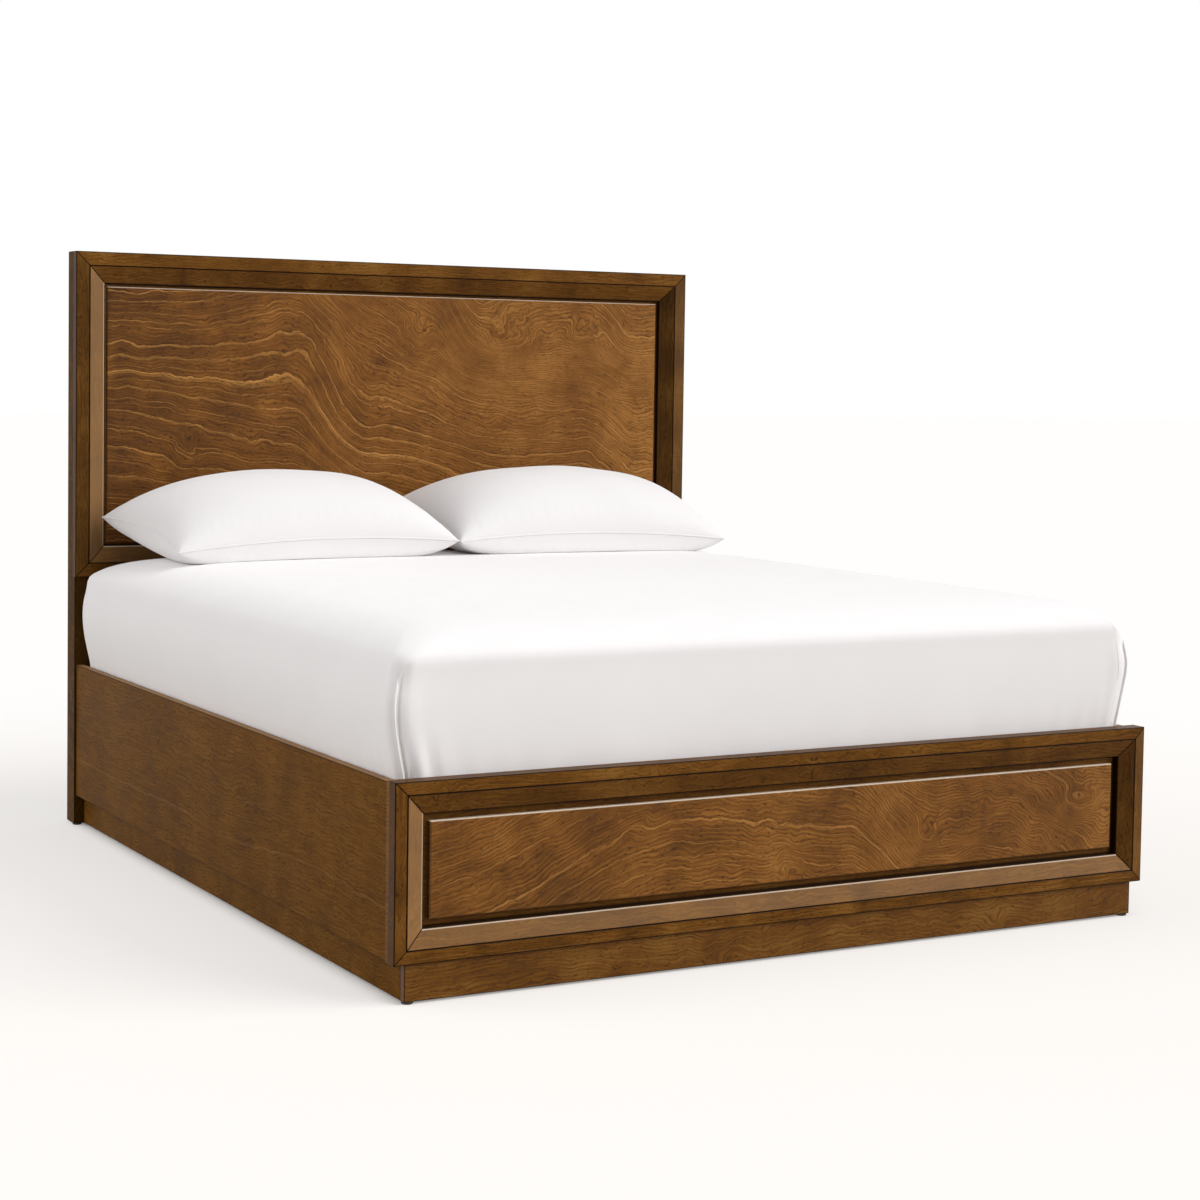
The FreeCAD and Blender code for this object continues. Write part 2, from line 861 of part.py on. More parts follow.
# Slats, centre beam and centre legs


def slat_row():
    """Give the lower Y of each slat, evenly spaced under the mattress."""
    first = MATTRESS_CENTRE - S.mattress_length / 2 + S.slat_row_margin
    span = S.mattress_length - S.slat_row_margin * 2 - S.slat_width
    return [first + span * index / (SLAT_COUNT - 1) for index in range(SLAT_COUNT)]


def make_slats(screws):
    """Rounded slats across the bed, screwed down on the ledgers."""
    half = RAIL_INNER - S.slat_end_gap
    screw_x = RAIL_INNER - S.ledger_width / 2
    for number, start in enumerate(slat_row(), start=1):
        name = f"slat_{number:02d}"
        blanks[name] = add_board(
            name + "_blank", (-half, start, SLAT_SEAT),
            (half * 2, S.slat_width, S.slat_thickness), along_x, S.slat_rounding)
        for side, sign in SIDES:
            head = (screw_x * sign, start + S.slat_width / 2, S.mattress_seat)
            screws.add(head, (0, 0, 1))


def make_beam(screws):
    """The centre beam and the two steel shoes that hold its ends."""
    gauge = S.bracket_gauge
    play = S.bracket_play
    shoe_start = FOOT_BACK + gauge
    shoe_end = POST_FRONT - gauge
    blanks["centre_beam"] = add_board(
        "centre_beam_blank", (-S.beam_width / 2, shoe_start + play, BEAM_BOTTOM),
        (S.beam_width, shoe_end - shoe_start - play * 2, S.beam_height), along_y, S.arris)
    inner = S.beam_width / 2 + play
    outer = inner + gauge
    flange = outer + S.bracket_flange
    low = BEAM_BOTTOM - gauge
    shoes = []
    for end, wall, reach, out in (("foot", FOOT_BACK, FOOT_BACK, 1),
                                  ("head", shoe_end, POST_FRONT - S.bracket_reach, -1)):
        tall = SLAT_SEAT - play - low
        plate = add_box(f"shoe_{end}_plate", (-flange, wall, low), (flange * 2, gauge, tall))
        trough = add_box(f"shoe_{end}_trough", (-outer, reach, low),
                         (outer * 2, S.bracket_reach, tall))
        joined = join_pieces(f"shoe_{end}_joined", [plate, trough])
        start = shoe_start if out > 0 else reach - S.overrun
        room = add_box(f"shoe_{end}_room", (-inner, start, BEAM_BOTTOM),
                       (inner * 2, S.bracket_reach - gauge + S.overrun, tall + S.overrun))
        shoes.append(cut_away(f"shoe_{end}", joined, [room]))
        face = shoe_start if out > 0 else shoe_end
        for side, sign in SIDES:
            x = (outer + S.bracket_flange / 2) * sign
            screws.add((x, face, BEAM_BOTTOM + S.beam_height / 2), (0, out, 0))
    group = doc.addObject("Part::Compound", "beam_brackets_blank")
    group.Links = shoes
    blanks["beam_brackets"] = group


def make_legs():
    """Two legs under the beam, each bolted on and with a screw foot."""
    pieces = []
    bolts = []
    foot = S.leg_clearance
    half = S.leg_side / 2
    bolt_top = SLAT_SEAT - S.bolt_head_height - S.bracket_play
    shank_low = BEAM_BOTTOM - S.bolt_depth
    bore = S.bolt_radius + S.screw_play
    stem_bore = S.stem_radius + S.stem_play
    beam_holes = []
    for end, sign in LEG_ENDS:
        y = S.leg_spread / 2 * sign
        blank = add_board(f"centre_leg_{end}_blank", (-half, y - half, foot),
                          (S.leg_side, S.leg_side, BEAM_BOTTOM - foot), along_z, S.arris)
        seat = add_cylinder(f"leg_{end}_insert_seat", (ZERO, y, foot),
                            S.insert_radius + S.screw_play, S.insert_length)
        room = add_cylinder(f"leg_{end}_stem_room", (ZERO, y, foot + S.insert_length),
                            stem_bore, S.stem_length + S.pad_height + S.adjuster_travel
                            + S.stem_play - foot - S.insert_length)
        hole = add_cylinder(f"leg_{end}_bolt_hole", (ZERO, y, shank_low - S.screw_play),
                            bore, S.bolt_depth + S.overrun)
        cut_away("centre_leg_" + end, blank, [seat, room, hole])
        collar = add_cylinder(f"insert_{end}_collar", (ZERO, y, foot),
                              S.insert_radius, S.insert_length)
        thread = add_cylinder(f"insert_{end}_thread", (ZERO, y, foot - S.overrun),
                              stem_bore, S.insert_length + S.overrun * 2)
        pieces.append(cut_away(f"insert_{end}", collar, [thread]))
        shank = add_cylinder(f"bolt_{end}_shank", (ZERO, y, shank_low),
                             S.bolt_radius, bolt_top - shank_low)
        head = add_cylinder(f"bolt_{end}_head", (ZERO, y, bolt_top),
                            S.bolt_head_radius, S.bolt_head_height)
        bolts.append(join_pieces(f"bolt_{end}", [shank, head]))
        beam_holes += [
            add_cylinder(f"beam_{end}_hole", (ZERO, y, BEAM_BOTTOM - S.overrun),
                         bore, S.beam_height),
            add_cylinder(f"beam_{end}_counterbore", (ZERO, y, bolt_top),
                         S.bolt_head_radius + S.screw_play, S.bolt_head_height + S.overrun),
        ]
        adjuster = add_turned("leg_adjuster_" + end, (
            (ZERO, ZERO),
            (S.pad_radius - S.pad_arris, ZERO),
            (S.pad_radius, S.pad_arris),
            (S.pad_radius, S.pad_height - S.pad_arris),
            (S.pad_radius - S.pad_arris, S.pad_height),
            (S.stem_radius, S.pad_height),
            (S.stem_radius, S.pad_height + S.stem_length),
            (ZERO, S.pad_height + S.stem_length),
        ))
        place(adjuster, (ZERO, y, ZERO))
    inserts = doc.addObject("Part::Compound", "leg_inserts")
    inserts.Links = pieces
    group = doc.addObject("Part::Compound", "leg_bolts")
    group.Links = bolts
    cut_away("centre_beam", blanks.pop("centre_beam"), beam_holes)


# Hook plates at the corners


def corner_copies(shape):
    """Mirror what was made for the left foot corner to all four corners.

    The head end repeats the foot end, turned round at the post's front.
    """
    across = FreeCAD.Vector(1, 0, 0)
    along = FreeCAD.Vector(0, 1, 0)
    middle = FreeCAD.Vector(0, float(FOOT_BACK + POST_FRONT) / 2, 0)
    foot = [shape, shape.mirror(FreeCAD.Vector(), across)]
    return foot + [piece.mirror(middle, along) for piece in foot]


def make_plates(screws):
    """Hooks let into the rail ends hang in slotted plates at the corners."""
    gauge = S.plate_gauge
    play = S.hook_play
    left = -RAIL_CENTRE - S.plate_width / 2
    low = S.plate_bottom
    size = (S.plate_width, gauge, S.plate_length)
    hook_left = -RAIL_CENTRE - S.hook_thickness / 2
    tongue_front = FOOT_BACK - gauge - play - S.hook_tongue
    parts = [add_box("hook_plate_body", (left, FOOT_BACK, low), size)]
    slots = []
    rooms = []
    necks = (low + S.hook_edge, low + S.plate_length - S.hook_edge - S.hook_neck)
    for number, neck in enumerate(necks, start=1):
        parts.append(add_box(
            f"hook_{number}_neck", (hook_left, tongue_front, neck),
            (S.hook_thickness, FOOT_BACK - tongue_front, S.hook_neck)))
        parts.append(add_box(
            f"hook_{number}_tongue", (hook_left, tongue_front, neck - S.hook_drop),
            (S.hook_thickness, S.hook_tongue, S.hook_drop)))
        slot_size = (S.hook_thickness + play * 2, gauge + S.overrun * 2,
                     S.hook_neck + S.hook_drop + play * 2)
        slots.append(add_box(
            f"slot_{number}", (hook_left - play, FOOT_BACK - gauge - S.overrun, neck - play),
            slot_size))
        room_size = (slot_size[0], FOOT_BACK - gauge - tongue_front + play,
                     S.hook_neck + S.hook_drop * 2 + play * 2)
        rooms.append(add_box(
            f"room_{number}",
            (hook_left - play, tongue_front - play, neck - S.hook_drop - play), room_size))
    hook = join_pieces("hook_plate_master", parts)
    slotted = cut_away(
        "slot_plate_master", add_box("slot_plate_body", (left, FOOT_BACK - gauge, low), size),
        slots)
    rail_seat = add_box("hook_plate_seat", (left, FOOT_BACK - S.overrun, low),
                        (S.plate_width, gauge + S.overrun, S.plate_length))
    post_seat = add_box("slot_plate_seat", (left, FOOT_BACK - gauge, low),
                        (S.plate_width, gauge + S.overrun, S.plate_length))
    sunk = join_pieces("slot_plate_sinking", [post_seat] + rooms)
    doc.recompute()
    for end, face, out in (("foot", FOOT_BACK, 1), ("head", POST_FRONT, -1)):
        for side, sign in SIDES:
            for z in (low + S.plate_screw_edge, low + S.plate_length - S.plate_screw_edge):
                screws.add((RAIL_CENTRE * sign, face, z), (0, -out, 0))
                screws.add((RAIL_CENTRE * sign, face, z), (0, out, 0))
    blanks["hook_plates"] = add_shape("hook_plates_blank",
                                      Part.makeCompound(corner_copies(hook.Shape)))
    blanks["slot_plates"] = add_shape("slot_plates_blank",
                                      Part.makeCompound(corner_copies(slotted.Shape)))
    recesses["rails"] = add_shape("rail_recesses",
                                  Part.makeCompound(corner_copies(rail_seat.Shape)))
    recesses["ends"] = add_shape("end_recesses", Part.makeCompound(corner_copies(sunk.Shape)))


def finish_wood(screw_sets):
    """Cut the recesses and screw holes into every blank that they reach."""
    for name, blank in blanks.items():
        doc.recompute()
        tools = []
        if name.startswith("side_rail"):
            tools.append(recesses["rails"])
        if name.startswith("headboard_post") or name == "footboard_back_panel":
            tools.append(recesses["ends"])
        tools += [holes for holes in (screws.holes(blank) for screws in screw_sets)
                  if holes.Shape.Solids]
        cut_away(name, blank, tools)


# Mattress, sheet and pillows


def make_bedding():
    """The mattress in its two layers, the fitted sheet and the cased pillows."""
    skin = S.sheet_thickness
    outer = mattress_form(0)
    inside = mattress_form(skin)
    filling = mattress_form(skin + S.soft_gap)
    bottom = S.mattress_seat - S.overrun
    split = S.mattress_seat + S.comfort_height
    top = S.headboard_height
    add_shape("mattress_core", filling.common(slab(bottom, split)))
    add_shape("mattress_comfort_layer", filling.common(slab(split, top)))
    open_x = float(S.mattress_width - S.sheet_tuck * 2)
    open_y = float(S.mattress_length - S.sheet_tuck * 2)
    corner = point(-(S.mattress_width / 2 - S.sheet_tuck),
                   MATTRESS_CENTRE - S.mattress_length / 2 + S.sheet_tuck, bottom)
    opening = Part.makeBox(open_x, open_y, float(S.overrun + skin * 2), corner)
    add_shape("fitted_sheet", outer.cut(inside).cut(opening))
    wall = S.case_thickness
    beds = [mattress_form(-(S.soft_gap + wall * share)) for share in (0, 1)]
    fill_bed = mattress_form(-(S.soft_gap * 2 + wall))
    widths = (S.left_pillow_width, S.right_pillow_width)
    turns = (S.left_pillow_turn, S.right_pillow_turn)
    for (side, sign), width, turn in zip(SIDES, widths, turns):
        middle = (width + turn + S.pillow_gap) / 2 * sign - S.pillow_middle
        turned = turn * sign
        case = pillow_form(middle, width, turned, 0).cut(beds[0])
        hollow = pillow_form(middle, width, turned, wall).cut(beds[1])
        fill = pillow_form(middle, width, turned, wall + S.soft_gap).cut(fill_bed)
        add_shape("pillowcase_" + side, case.cut(hollow))
        add_shape("pillow_" + side, fill)


# Build


blanks = {}
recesses = {}
plate_screws = ScrewSet("plate_screws", S.plate_screw_length)
slat_screws = ScrewSet("slat_screws", S.slat_screw_length)
ledger_screws = ScrewSet("ledger_screws", S.ledger_screw_length)

make_headboard()
make_footboard()
make_sides()
make_glides()
make_slats(slat_screws)
make_beam(plate_screws)
make_legs()
make_plates(plate_screws)
place_ledger_screws(ledger_screws)
screw_sets = (plate_screws, slat_screws, ledger_screws)
for screws in screw_sets:
    add_shape(screws.name, screws.bodies())
finish_wood(screw_sets)
make_bedding()
doc.recompute()

NODES = (
    ["headboard_post_left", "headboard_post_right", "headboard_back_panel",
     "headboard_top_brace", "headboard_lower_brace", "headboard_base_rail",
     "headboard_field_panel", "footboard_back_panel", "footboard_field_panel"]
    + [f"{board}_moulding_{side}" for board in ("headboard", "footboard")
       for side in ("top", "bottom", "left", "right")]
    + [f"{piece}_{side}" for side, sign in SIDES
       for piece in ("side_rail", "slat_ledger", "plinth_batten", "plinth",
                     "pillow", "pillowcase")]
    + ["plinth_front", "plinth_corner_blocks", "floor_glides", "centre_beam",
       "beam_brackets", "leg_inserts", "leg_bolts"]
    + [f"{piece}_{end}" for end, sign in LEG_ENDS for piece in ("centre_leg", "leg_adjuster")]
    + [f"slat_{number:02d}" for number in range(1, SLAT_COUNT + 1)]
    + ["hook_plates", "slot_plates", "plate_screws", "slat_screws", "ledger_screws",
       "mattress_core", "mattress_comfort_layer", "fitted_sheet"]
)


def check_document():
    """Stop if any object failed or any sub-part isn't a sound solid."""
    for item in doc.Objects:
        if "Invalid" in item.State or "Error" in item.State:
            raise ValueError(f"{item.Label} failed: {item.State}")
    for name in NODES:
        shape = doc.getObjectsByLabel(name)[0].Shape
        if shape.isNull() or not shape.isValid() or not shape.Solids or shape.Volume <= 0:
            raise ValueError(f"{name} is not a sound solid")


def write_nodes():
    """Write each sub-part to its own file."""
    os.makedirs("parts", exist_ok=True)
    for name in NODES:
        doc.getObjectsByLabel(name)[0].Shape.exportStep(f"parts/{name}.step")


check_document()
write_nodes()
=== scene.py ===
"""Looks of a panelled wooden double bed with its mattress, fitted sheet and two pillows.

Metres throughout. +X is the bed's width, +Y points to the head, +Z is up, and the origin lies on
the floor at the centre of the bed's outline.
"""
import math
from functools import partial

import bmesh
import bpy
import numpy as np
from mathutils import Matrix, Vector


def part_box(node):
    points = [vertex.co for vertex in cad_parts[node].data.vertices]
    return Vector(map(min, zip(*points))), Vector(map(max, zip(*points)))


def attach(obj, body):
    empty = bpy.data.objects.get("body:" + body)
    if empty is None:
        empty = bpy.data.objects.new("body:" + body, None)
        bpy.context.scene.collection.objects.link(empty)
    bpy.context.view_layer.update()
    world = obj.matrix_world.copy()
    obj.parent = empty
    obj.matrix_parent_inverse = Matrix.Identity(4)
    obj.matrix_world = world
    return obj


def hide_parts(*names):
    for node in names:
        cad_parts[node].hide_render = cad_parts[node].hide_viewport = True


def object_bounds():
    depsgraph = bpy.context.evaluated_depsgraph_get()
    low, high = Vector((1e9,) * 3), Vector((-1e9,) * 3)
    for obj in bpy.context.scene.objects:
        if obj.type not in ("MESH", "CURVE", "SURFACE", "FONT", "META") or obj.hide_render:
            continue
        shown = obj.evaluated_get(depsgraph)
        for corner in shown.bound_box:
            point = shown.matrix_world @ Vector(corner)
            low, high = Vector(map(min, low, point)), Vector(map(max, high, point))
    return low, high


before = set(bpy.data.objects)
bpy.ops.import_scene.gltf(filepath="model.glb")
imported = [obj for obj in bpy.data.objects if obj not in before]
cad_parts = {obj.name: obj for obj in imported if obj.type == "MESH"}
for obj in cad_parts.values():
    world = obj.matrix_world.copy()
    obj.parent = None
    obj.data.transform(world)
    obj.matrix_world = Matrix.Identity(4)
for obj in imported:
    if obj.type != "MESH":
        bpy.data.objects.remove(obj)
cad_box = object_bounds()

MM = 0.001
TAU = 2 * math.pi

# Camera, fitted to measured points of the bed in the photograph
PHOTO_PIXELS = 1200
FOCAL_PIXELS = 2408.3
CENTRE_LINE_PIXEL = 508.9
CAMERA_PLACE = Vector((-2.8055, -5.2014, 1.2064))
CAMERA_YAW = math.radians(29.154)
CAMERA_PITCH = math.radians(3.129)
CAMERA_ROLL = math.radians(0.866)
SENSOR = 36

# Places read from the frame
BED_HIGH = cad_box[1]
HALF_WIDTH = BED_HIGH.x
HEAD_TOP = BED_HIGH.z
SHEET_LOW, SHEET_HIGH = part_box("fitted_sheet")
FOOT_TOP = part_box("footboard_moulding_top")[1].z
HEAD_MOULDING_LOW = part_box("headboard_moulding_bottom")[0]
FOOT_MOULDING_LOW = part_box("footboard_moulding_bottom")[0]

# Mouldings: width across, flat band and quirk groove, as they are cut
FOOT_MOULDING_WIDTH = 65 * MM
FOOT_BAND = 25 * MM
HEAD_MOULDING_WIDTH = 81 * MM
HEAD_BAND = 35 * MM
QUIRK = 3 * MM

# Mattress and fitted sheet
MATTRESS_WIDTH = 1.8
MATTRESS_LENGTH = 2.0
MATTRESS_CENTRE = (SHEET_LOW.y + SHEET_HIGH.y) / 2
MATTRESS_BOTTOM = SHEET_LOW.z
BORDER = 277 * MM
CROWN = 66 * MM
CROWN_REACH = 500 * MM
SIDE_BULGE = 19 * MM
END_BULGE = 3 * MM
CORNER_RADIUS = 38 * MM
BOTTOM_ROUNDING = 20 * MM
TUCK = 160 * MM
SHEET_THICKNESS = 1.2 * MM
SHEET_SEAM_RADIUS = 2.6 * MM
SHEET_SEAM_TOP = 632 * MM
SHEET_SEED = 11
# Swell of a corner in mm: how far, over what width and height, how far below the seam's top; and
# its share at the head
CORNER_SWELL = (6.0, 34, 44, 58)
HEAD_SHARE = 0.3
# Dips beside a seam at the foot in mm: place, width and depth
SEAM_DIPS = ((5.5, 2.6, 2.6), (15, 15, 2.4))
# Waves: their lengths in metres and their depth in mm
FOLDS = ((0.046, 0.031, 0.071), 1.0)
GATHERS = ((0.043, 0.061), 2.6)
SLACK = ((0.43, 0.29), 0.7)
# Creases that fan out from the top of a corner seam: turn in degrees, reach and depth in mm
CREASES = (
    (20, 90, 1.2), (-12, 130, 1.4), (-34, 100, 1.2), (-58, 70, 1.0),
    (168, 90, 1.0), (196, 120, 1.2), (222, 80, 1.0), (250, 60, 0.9),
)
# Share of the border's height, of the bottom rounding taken off, of the bulge put on
BORDER_SHARES = (
    (0.00, 1.00, 0.00), (0.02, 0.45, 0.00), (0.06, 0.08, 0.00), (0.15, 0.00, 0.00),
    (0.30, 0.00, 0.42), (0.42, 0.00, 0.76), (0.58, 0.00, 1.00), (0.74, 0.00, 0.92),
    (0.88, 0.00, 0.62), (1.00, 0.00, 0.15),
)
# Share of the crown's rise and of its reach inwards
CROWN_SHARES = (
    (0.24, 0.030), (0.42, 0.068), (0.60, 0.125), (0.76, 0.205), (0.88, 0.330),
    (0.96, 0.550), (1.00, 0.900),
)

# Pillows: the seam's corners in mm, front left, front right, back left and back right
PILLOW_CORNERS = {
    "left": ((-802, 545, 752), (-27, 545, 768), (-862, 975, 818), (-96, 975, 824)),
    "right": ((-21, 545, 766), (802, 545, 757), (-54, 975, 832), (822, 975, 822)),
}
PILLOW_SEEDS = {"left": 3, "right": 8}
PILLOW_GRID = (181, 111)
# Lengths in metres of the gathers on the long and the short seams, and of the filling's waves
LONG_GATHERS = (0.026, 0.041, 0.067)
SHORT_GATHERS = (0.030, 0.047, 0.071)
FILLING_WAVES = (0.31, 0.23)
PILLOW_RISE = 147 * MM
PILLOW_SINK = 105 * MM
PILLOW_FRONT_LIFT = 20 * MM
PILLOW_FRONT_DRAW = 10 * MM
PILLOW_END_DRAW = 26 * MM
PILLOW_END_LIFT = 14 * MM
PILLOW_BULGE = 26 * MM
PILLOW_END_BULGE = 5 * MM
PILLOW_BULGE_REACH = 70 * MM
PILLOW_SWELLING = 5 * MM
PILLOW_PRESSURE = 4.0
SETTLING_FRAMES = 20
PIPING_RADIUS = 2.4 * MM
SOFT_GAP = 0.8 * MM

# Studio: how far out a part of the floor shows plain white and how far out all of it does, that
# part, the fade at the bed's outline, the floor's half side, and the light of the world
FLOOR_NEAR = 1.6
FLOOR_FAR = 4.4
FLOOR_SHARE = 0.58
OUTLINE_FADE = (-0.06, 0.02)
FLOOR_REACH = 60.0
WORLD_LEVEL = 0.34
# Lamps: name, the direction it hangs in, irradiance and spread in degrees
LAMPS = (
    ("right_front_softbox", (0.67, -0.54, 0.51), 2.75, 52),
    ("overhead_softbox", (0.0, -0.10, 1.0), 0.46, 60),
    ("left_back_fill", (-0.90, 0.42, 0.16), 2.02, 70),
)
LAMP_COLOUR = "#FFFEFE"


# Colour


def linear(hex_colour, alpha=1.0):
    """Turns an sRGB hex colour into linear light: x/12.92 below 0.04045, else ((x+0.055)/1.055)^2.4."""
    channels = [int(hex_colour[start:start + 2], 16) / 255 for start in (1, 3, 5)]
    light = [c / 12.92 if c <= 0.04045 else ((c + 0.055) / 1.055) ** 2.4 for c in channels]
    return (*light, alpha)


# Materials

# Which property a mode sets, where that is no operation
MODES = {"MapRange": "interpolation_type", "Mix": "data_type",
         "TexNoise": "noise_dimensions", "TexWhiteNoise": "noise_dimensions"}


def add_node(tree, kind, inputs=(), mode=None, **settings):
    """Adds a node with its mode, settings and inputs, by name or in the node's order, None left out.

    An input is a number, a colour, a node or one of its outputs. A Map Range takes its value and
    the ends of two ranges, and a Noise its place, W, scale, detail and roughness.
    """
    made = tree.nodes.new("ShaderNode" + kind)
    if mode:
        settings[MODES.get(kind, "operation")] = mode
    for name, value in settings.items():
        setattr(made, name, value)
    for name, value in inputs.items() if isinstance(inputs, dict) else enumerate(inputs):
        if isinstance(value, bpy.types.Node):
            value = value.outputs[0]
        if isinstance(value, bpy.types.NodeSocket):
            tree.links.new(value, made.inputs[name])
        elif value is not None:
            made.inputs[name].default_value = value
    return made


def new_material(name):
    """Starts an empty material and gives it with the function that adds its nodes."""
    material = bpy.data.materials.new(name)
    material.use_nodes = True
    material.node_tree.nodes.clear()
    return material, partial(add_node, material.node_tree)


def streaks(add, place, stretch, detail, roughness=0.5):
    """Stretches a noise; the stretch is its number of features to the metre along each axis."""
    stretched = add("VectorMath", (place, stretch), "MULTIPLY")
    return add("TexNoise", (stretched, None, 1.0, detail, roughness))


def seen_directly(add):
    """Marks what the camera sees straight, in a reflection or through something clear."""
    paths = add("LightPath").outputs
    seen = add("Math", (paths["Is Camera Ray"], paths["Is Glossy Ray"]), "MAXIMUM")
    return add("Math", (seen, paths["Is Transmission Ray"]), "MAXIMUM")


GRAIN_ORDER = {"X": ("X", "Z", "Y"), "Y": ("Y", "Z", "X"), "Z": ("Z", "X", "Y")}


def grain_place(add, grain):
    """Gives an object place turned so that the grain runs along the first axis."""
    place = add("TexCoord").outputs["Object"]
    parts = add("SeparateXYZ", (place,))
    along, across, into = (parts.outputs[axis] for axis in GRAIN_ORDER[grain])
    return place, along, across, into


def box_edges(add, place, low, high):
    """Marks the edges of a board by the middle one of its three depths.

    A depth is the half side less the distance from the board's centre, along each axis.
    """
    centre = (low + high) / 2
    half = (high - low) / 2
    offset = add("VectorMath", (place, centre), "SUBTRACT")
    reach = add("VectorMath", (offset,), "ABSOLUTE")
    depth = add("VectorMath", (half, reach), "SUBTRACT")
    x, y, z = add("SeparateXYZ", (depth,)).outputs
    least = add("Math", (x, y), "MINIMUM")
    most = add("Math", (x, y), "MAXIMUM")
    inner = add("Math", (most, z), "MINIMUM")
    middle = add("Math", (least, inner), "MAXIMUM")
    return add("MapRange", (middle, 0.6 * MM, 2.6 * MM, 1, 0), "SMOOTHSTEP")


def frame_depths(add, place, bottom, top):
    """Measures a mitred frame from its outline: how far in, and how far from a mitre."""
    parts = add("SeparateXYZ", (place,))
    side = add("Math", (parts.outputs["X"],), "ABSOLUTE")
    from_side = add("Math", (HALF_WIDTH, side), "SUBTRACT")
    from_top = add("Math", (top, parts.outputs["Z"]), "SUBTRACT")
    from_low = add("Math", (parts.outputs["Z"], bottom), "SUBTRACT")
    level = add("Math", (from_top, from_low), "MINIMUM")
    across = add("Math", (from_side, level), "MINIMUM")
    mitre = add("Math", (from_side, level), "SUBTRACT")
    return parts.outputs["Y"], across, mitre


def mark_line(add, value, where, reach, least=None):
    """Marks a line where a value comes within a reach of a place; a second value keeps it there."""
    offset = add("Math", (value, where), "SUBTRACT")
    away = add("Math", (offset,), "ABSOLUTE")
    if least is not None:
        away = add("Math", (away, least), "MAXIMUM")
    return add("MapRange", (away, reach * 0.35, reach, 1, 0), "SMOOTHSTEP")


# Figures of the stained birch, in metres: how far the growth lines swell and how long and tall a
# swell is, how far they loop, ripple and crinkle, the spacing and width of the pale lines, and, as
# shares, how strong the lines, the fine lines and the mottling are and how much painted light
# brightens the board rightwards; the lines are weaker in a quiet round, given by its place and radius
VENEER_FIGURE = {
    "swell": 0.07, "swell_long": 0.80, "swell_tall": 0.34, "loop": 0.008, "loop_size": 0.085,
    "ripple": 0.009, "crinkle": 0.005, "spacing": 0.026, "line": 0.0016, "strength": 0.88,
    "fine": 0.52, "mottle": 0.40, "pale": 0.25, "quiet": (0.0, 0.0, 0.0),
}
HEAD_FIGURE = dict(VENEER_FIGURE, quiet=(0.50, 1.32, 0.42))
FOOT_FIGURE = dict(
    VENEER_FIGURE, swell=0.06, loop=0.014, ripple=0.010, crinkle=0.004, spacing=0.022,
    line=0.0010, strength=0.50, fine=0.55, mottle=0.52, pale=0.0)
RAIL_FIGURE = dict(
    VENEER_FIGURE, swell=0.05, swell_long=0.80, loop=0.006, ripple=0.004, crinkle=0.002,
    line=0.0010, strength=0.30, fine=0.32, mottle=0.34, pale=0.0)
PLINTH_FIGURE = dict(
    VENEER_FIGURE, swell=0.05, swell_long=0.50, loop=0.016, crinkle=0.003, line=0.0010,
    strength=0.30, fine=0.40, mottle=0.46, pale=0.0)
MOULDING_FIGURE = dict(
    VENEER_FIGURE, swell=0.020, swell_long=0.30, swell_tall=0.12, loop=0.008, loop_size=0.030,
    ripple=0.006, crinkle=0.002, spacing=0.012, line=0.0009, strength=0.26, fine=0.30,
    mottle=0.46, pale=0.0)
# Where the growth lines of a panel bend: start and end along it, how far they rise, and the
# heights between which the bend fades in; and where they close round an eye: its place along and
# up the panel, its radius and its rise
PLAIN_SHAPE = ((), ())
FOOT_SHAPE = ((
    (-0.90, -0.30, 0.15, -1.0, -0.9),
    (0.12, 0.36, -0.16, -1.0, -0.9),
    (0.50, 0.84, -0.15, -1.0, -0.9),
), (
    (0.76, 0.270, 0.050, 0.045),
    (0.33, 0.225, 0.040, 0.035),
    (-0.02, 0.190, 0.035, -0.030),
))
HEAD_SHAPE = ((
    (-0.84, -0.38, -0.060, -1.0, -0.9),
    (-0.84, -0.28, 0.105, 1.02, 1.40),
    (-0.33, -0.08, -0.165, -1.0, -0.9),
    (-0.12, 0.10, -0.045, 1.14, 1.32),
    (-0.06, 0.34, -0.080, -1.0, -0.9),
    (0.10, 0.26, -0.140, 1.08, 1.34),
    (0.26, 0.38, 0.035, 1.04, 1.26),
    (0.60, 0.78, -0.095, -1.0, -0.9),
), (
    (0.06, 1.310, 0.055, 0.050),
    (0.36, 1.310, 0.070, 0.055),
    (0.60, 1.330, 0.050, 0.036),
    (-0.62, 0.980, 0.050, 0.024),
))
# Stains from dark to light, the colour of the pale growth lines, and how strongly the lacquer
# over them mirrors the room: satin on the faces, rubbed duller on the long sides
FIELD_STAIN = ("#4A2C10", "#7D4F1D", "#A36F33", "#D69C54", 0.12)
MOULDING_STAIN = ("#40270B", "#6B4416", "#8A5F29", "#A67A45", 0.05)
UPRIGHT_STAIN = ("#35200A", "#573813", "#745022", "#946C3C", 0.04)
SIDE_STAIN = ("#482C0C", "#684313", "#825925", "#A0743F", 0.01)
FRONT_STAIN = ("#44290C", "#6E4516", "#8A622B", "#A67A44", 0.10)
POST_STAIN = ("#352108", "#4E3310", "#6A4920", "#8C6739", 0.01)
GLAZE_COLOUR = "#180C04"
# Pale colour for painted light, painted highlights and a painted reflection, and for wear on the fields'
# edges
PALE_WEAR_AND_LIGHT_COLOUR = "#C79F74"
# Colour of the painted highlights along lit arrises
ARRIS_HIGHLIGHT_COLOUR = "#E9DAC6"
OUTER_COLOUR = "#3A2208"
PORE_COLOUR = "#2A1707"
# Mouldings by side: painted light (pale) or painted shade (dark) on their bevels, and how strongly
# light is painted on their inner arris as a highlight and on their band
BEVEL_PAINTED_LIGHT_AND_SHADE = {
    "left": (0.24, PALE_WEAR_AND_LIGHT_COLOUR, 0.30, 0.0),
    "bottom": (0.16, PALE_WEAR_AND_LIGHT_COLOUR, 0.62, 0.0),
    "right": (0.34, GLAZE_COLOUR, 0.0, 0.07),
    "top": (0.16, GLAZE_COLOUR, 0.0, 0.0),
}

GLAZE_SHARE = 0.92
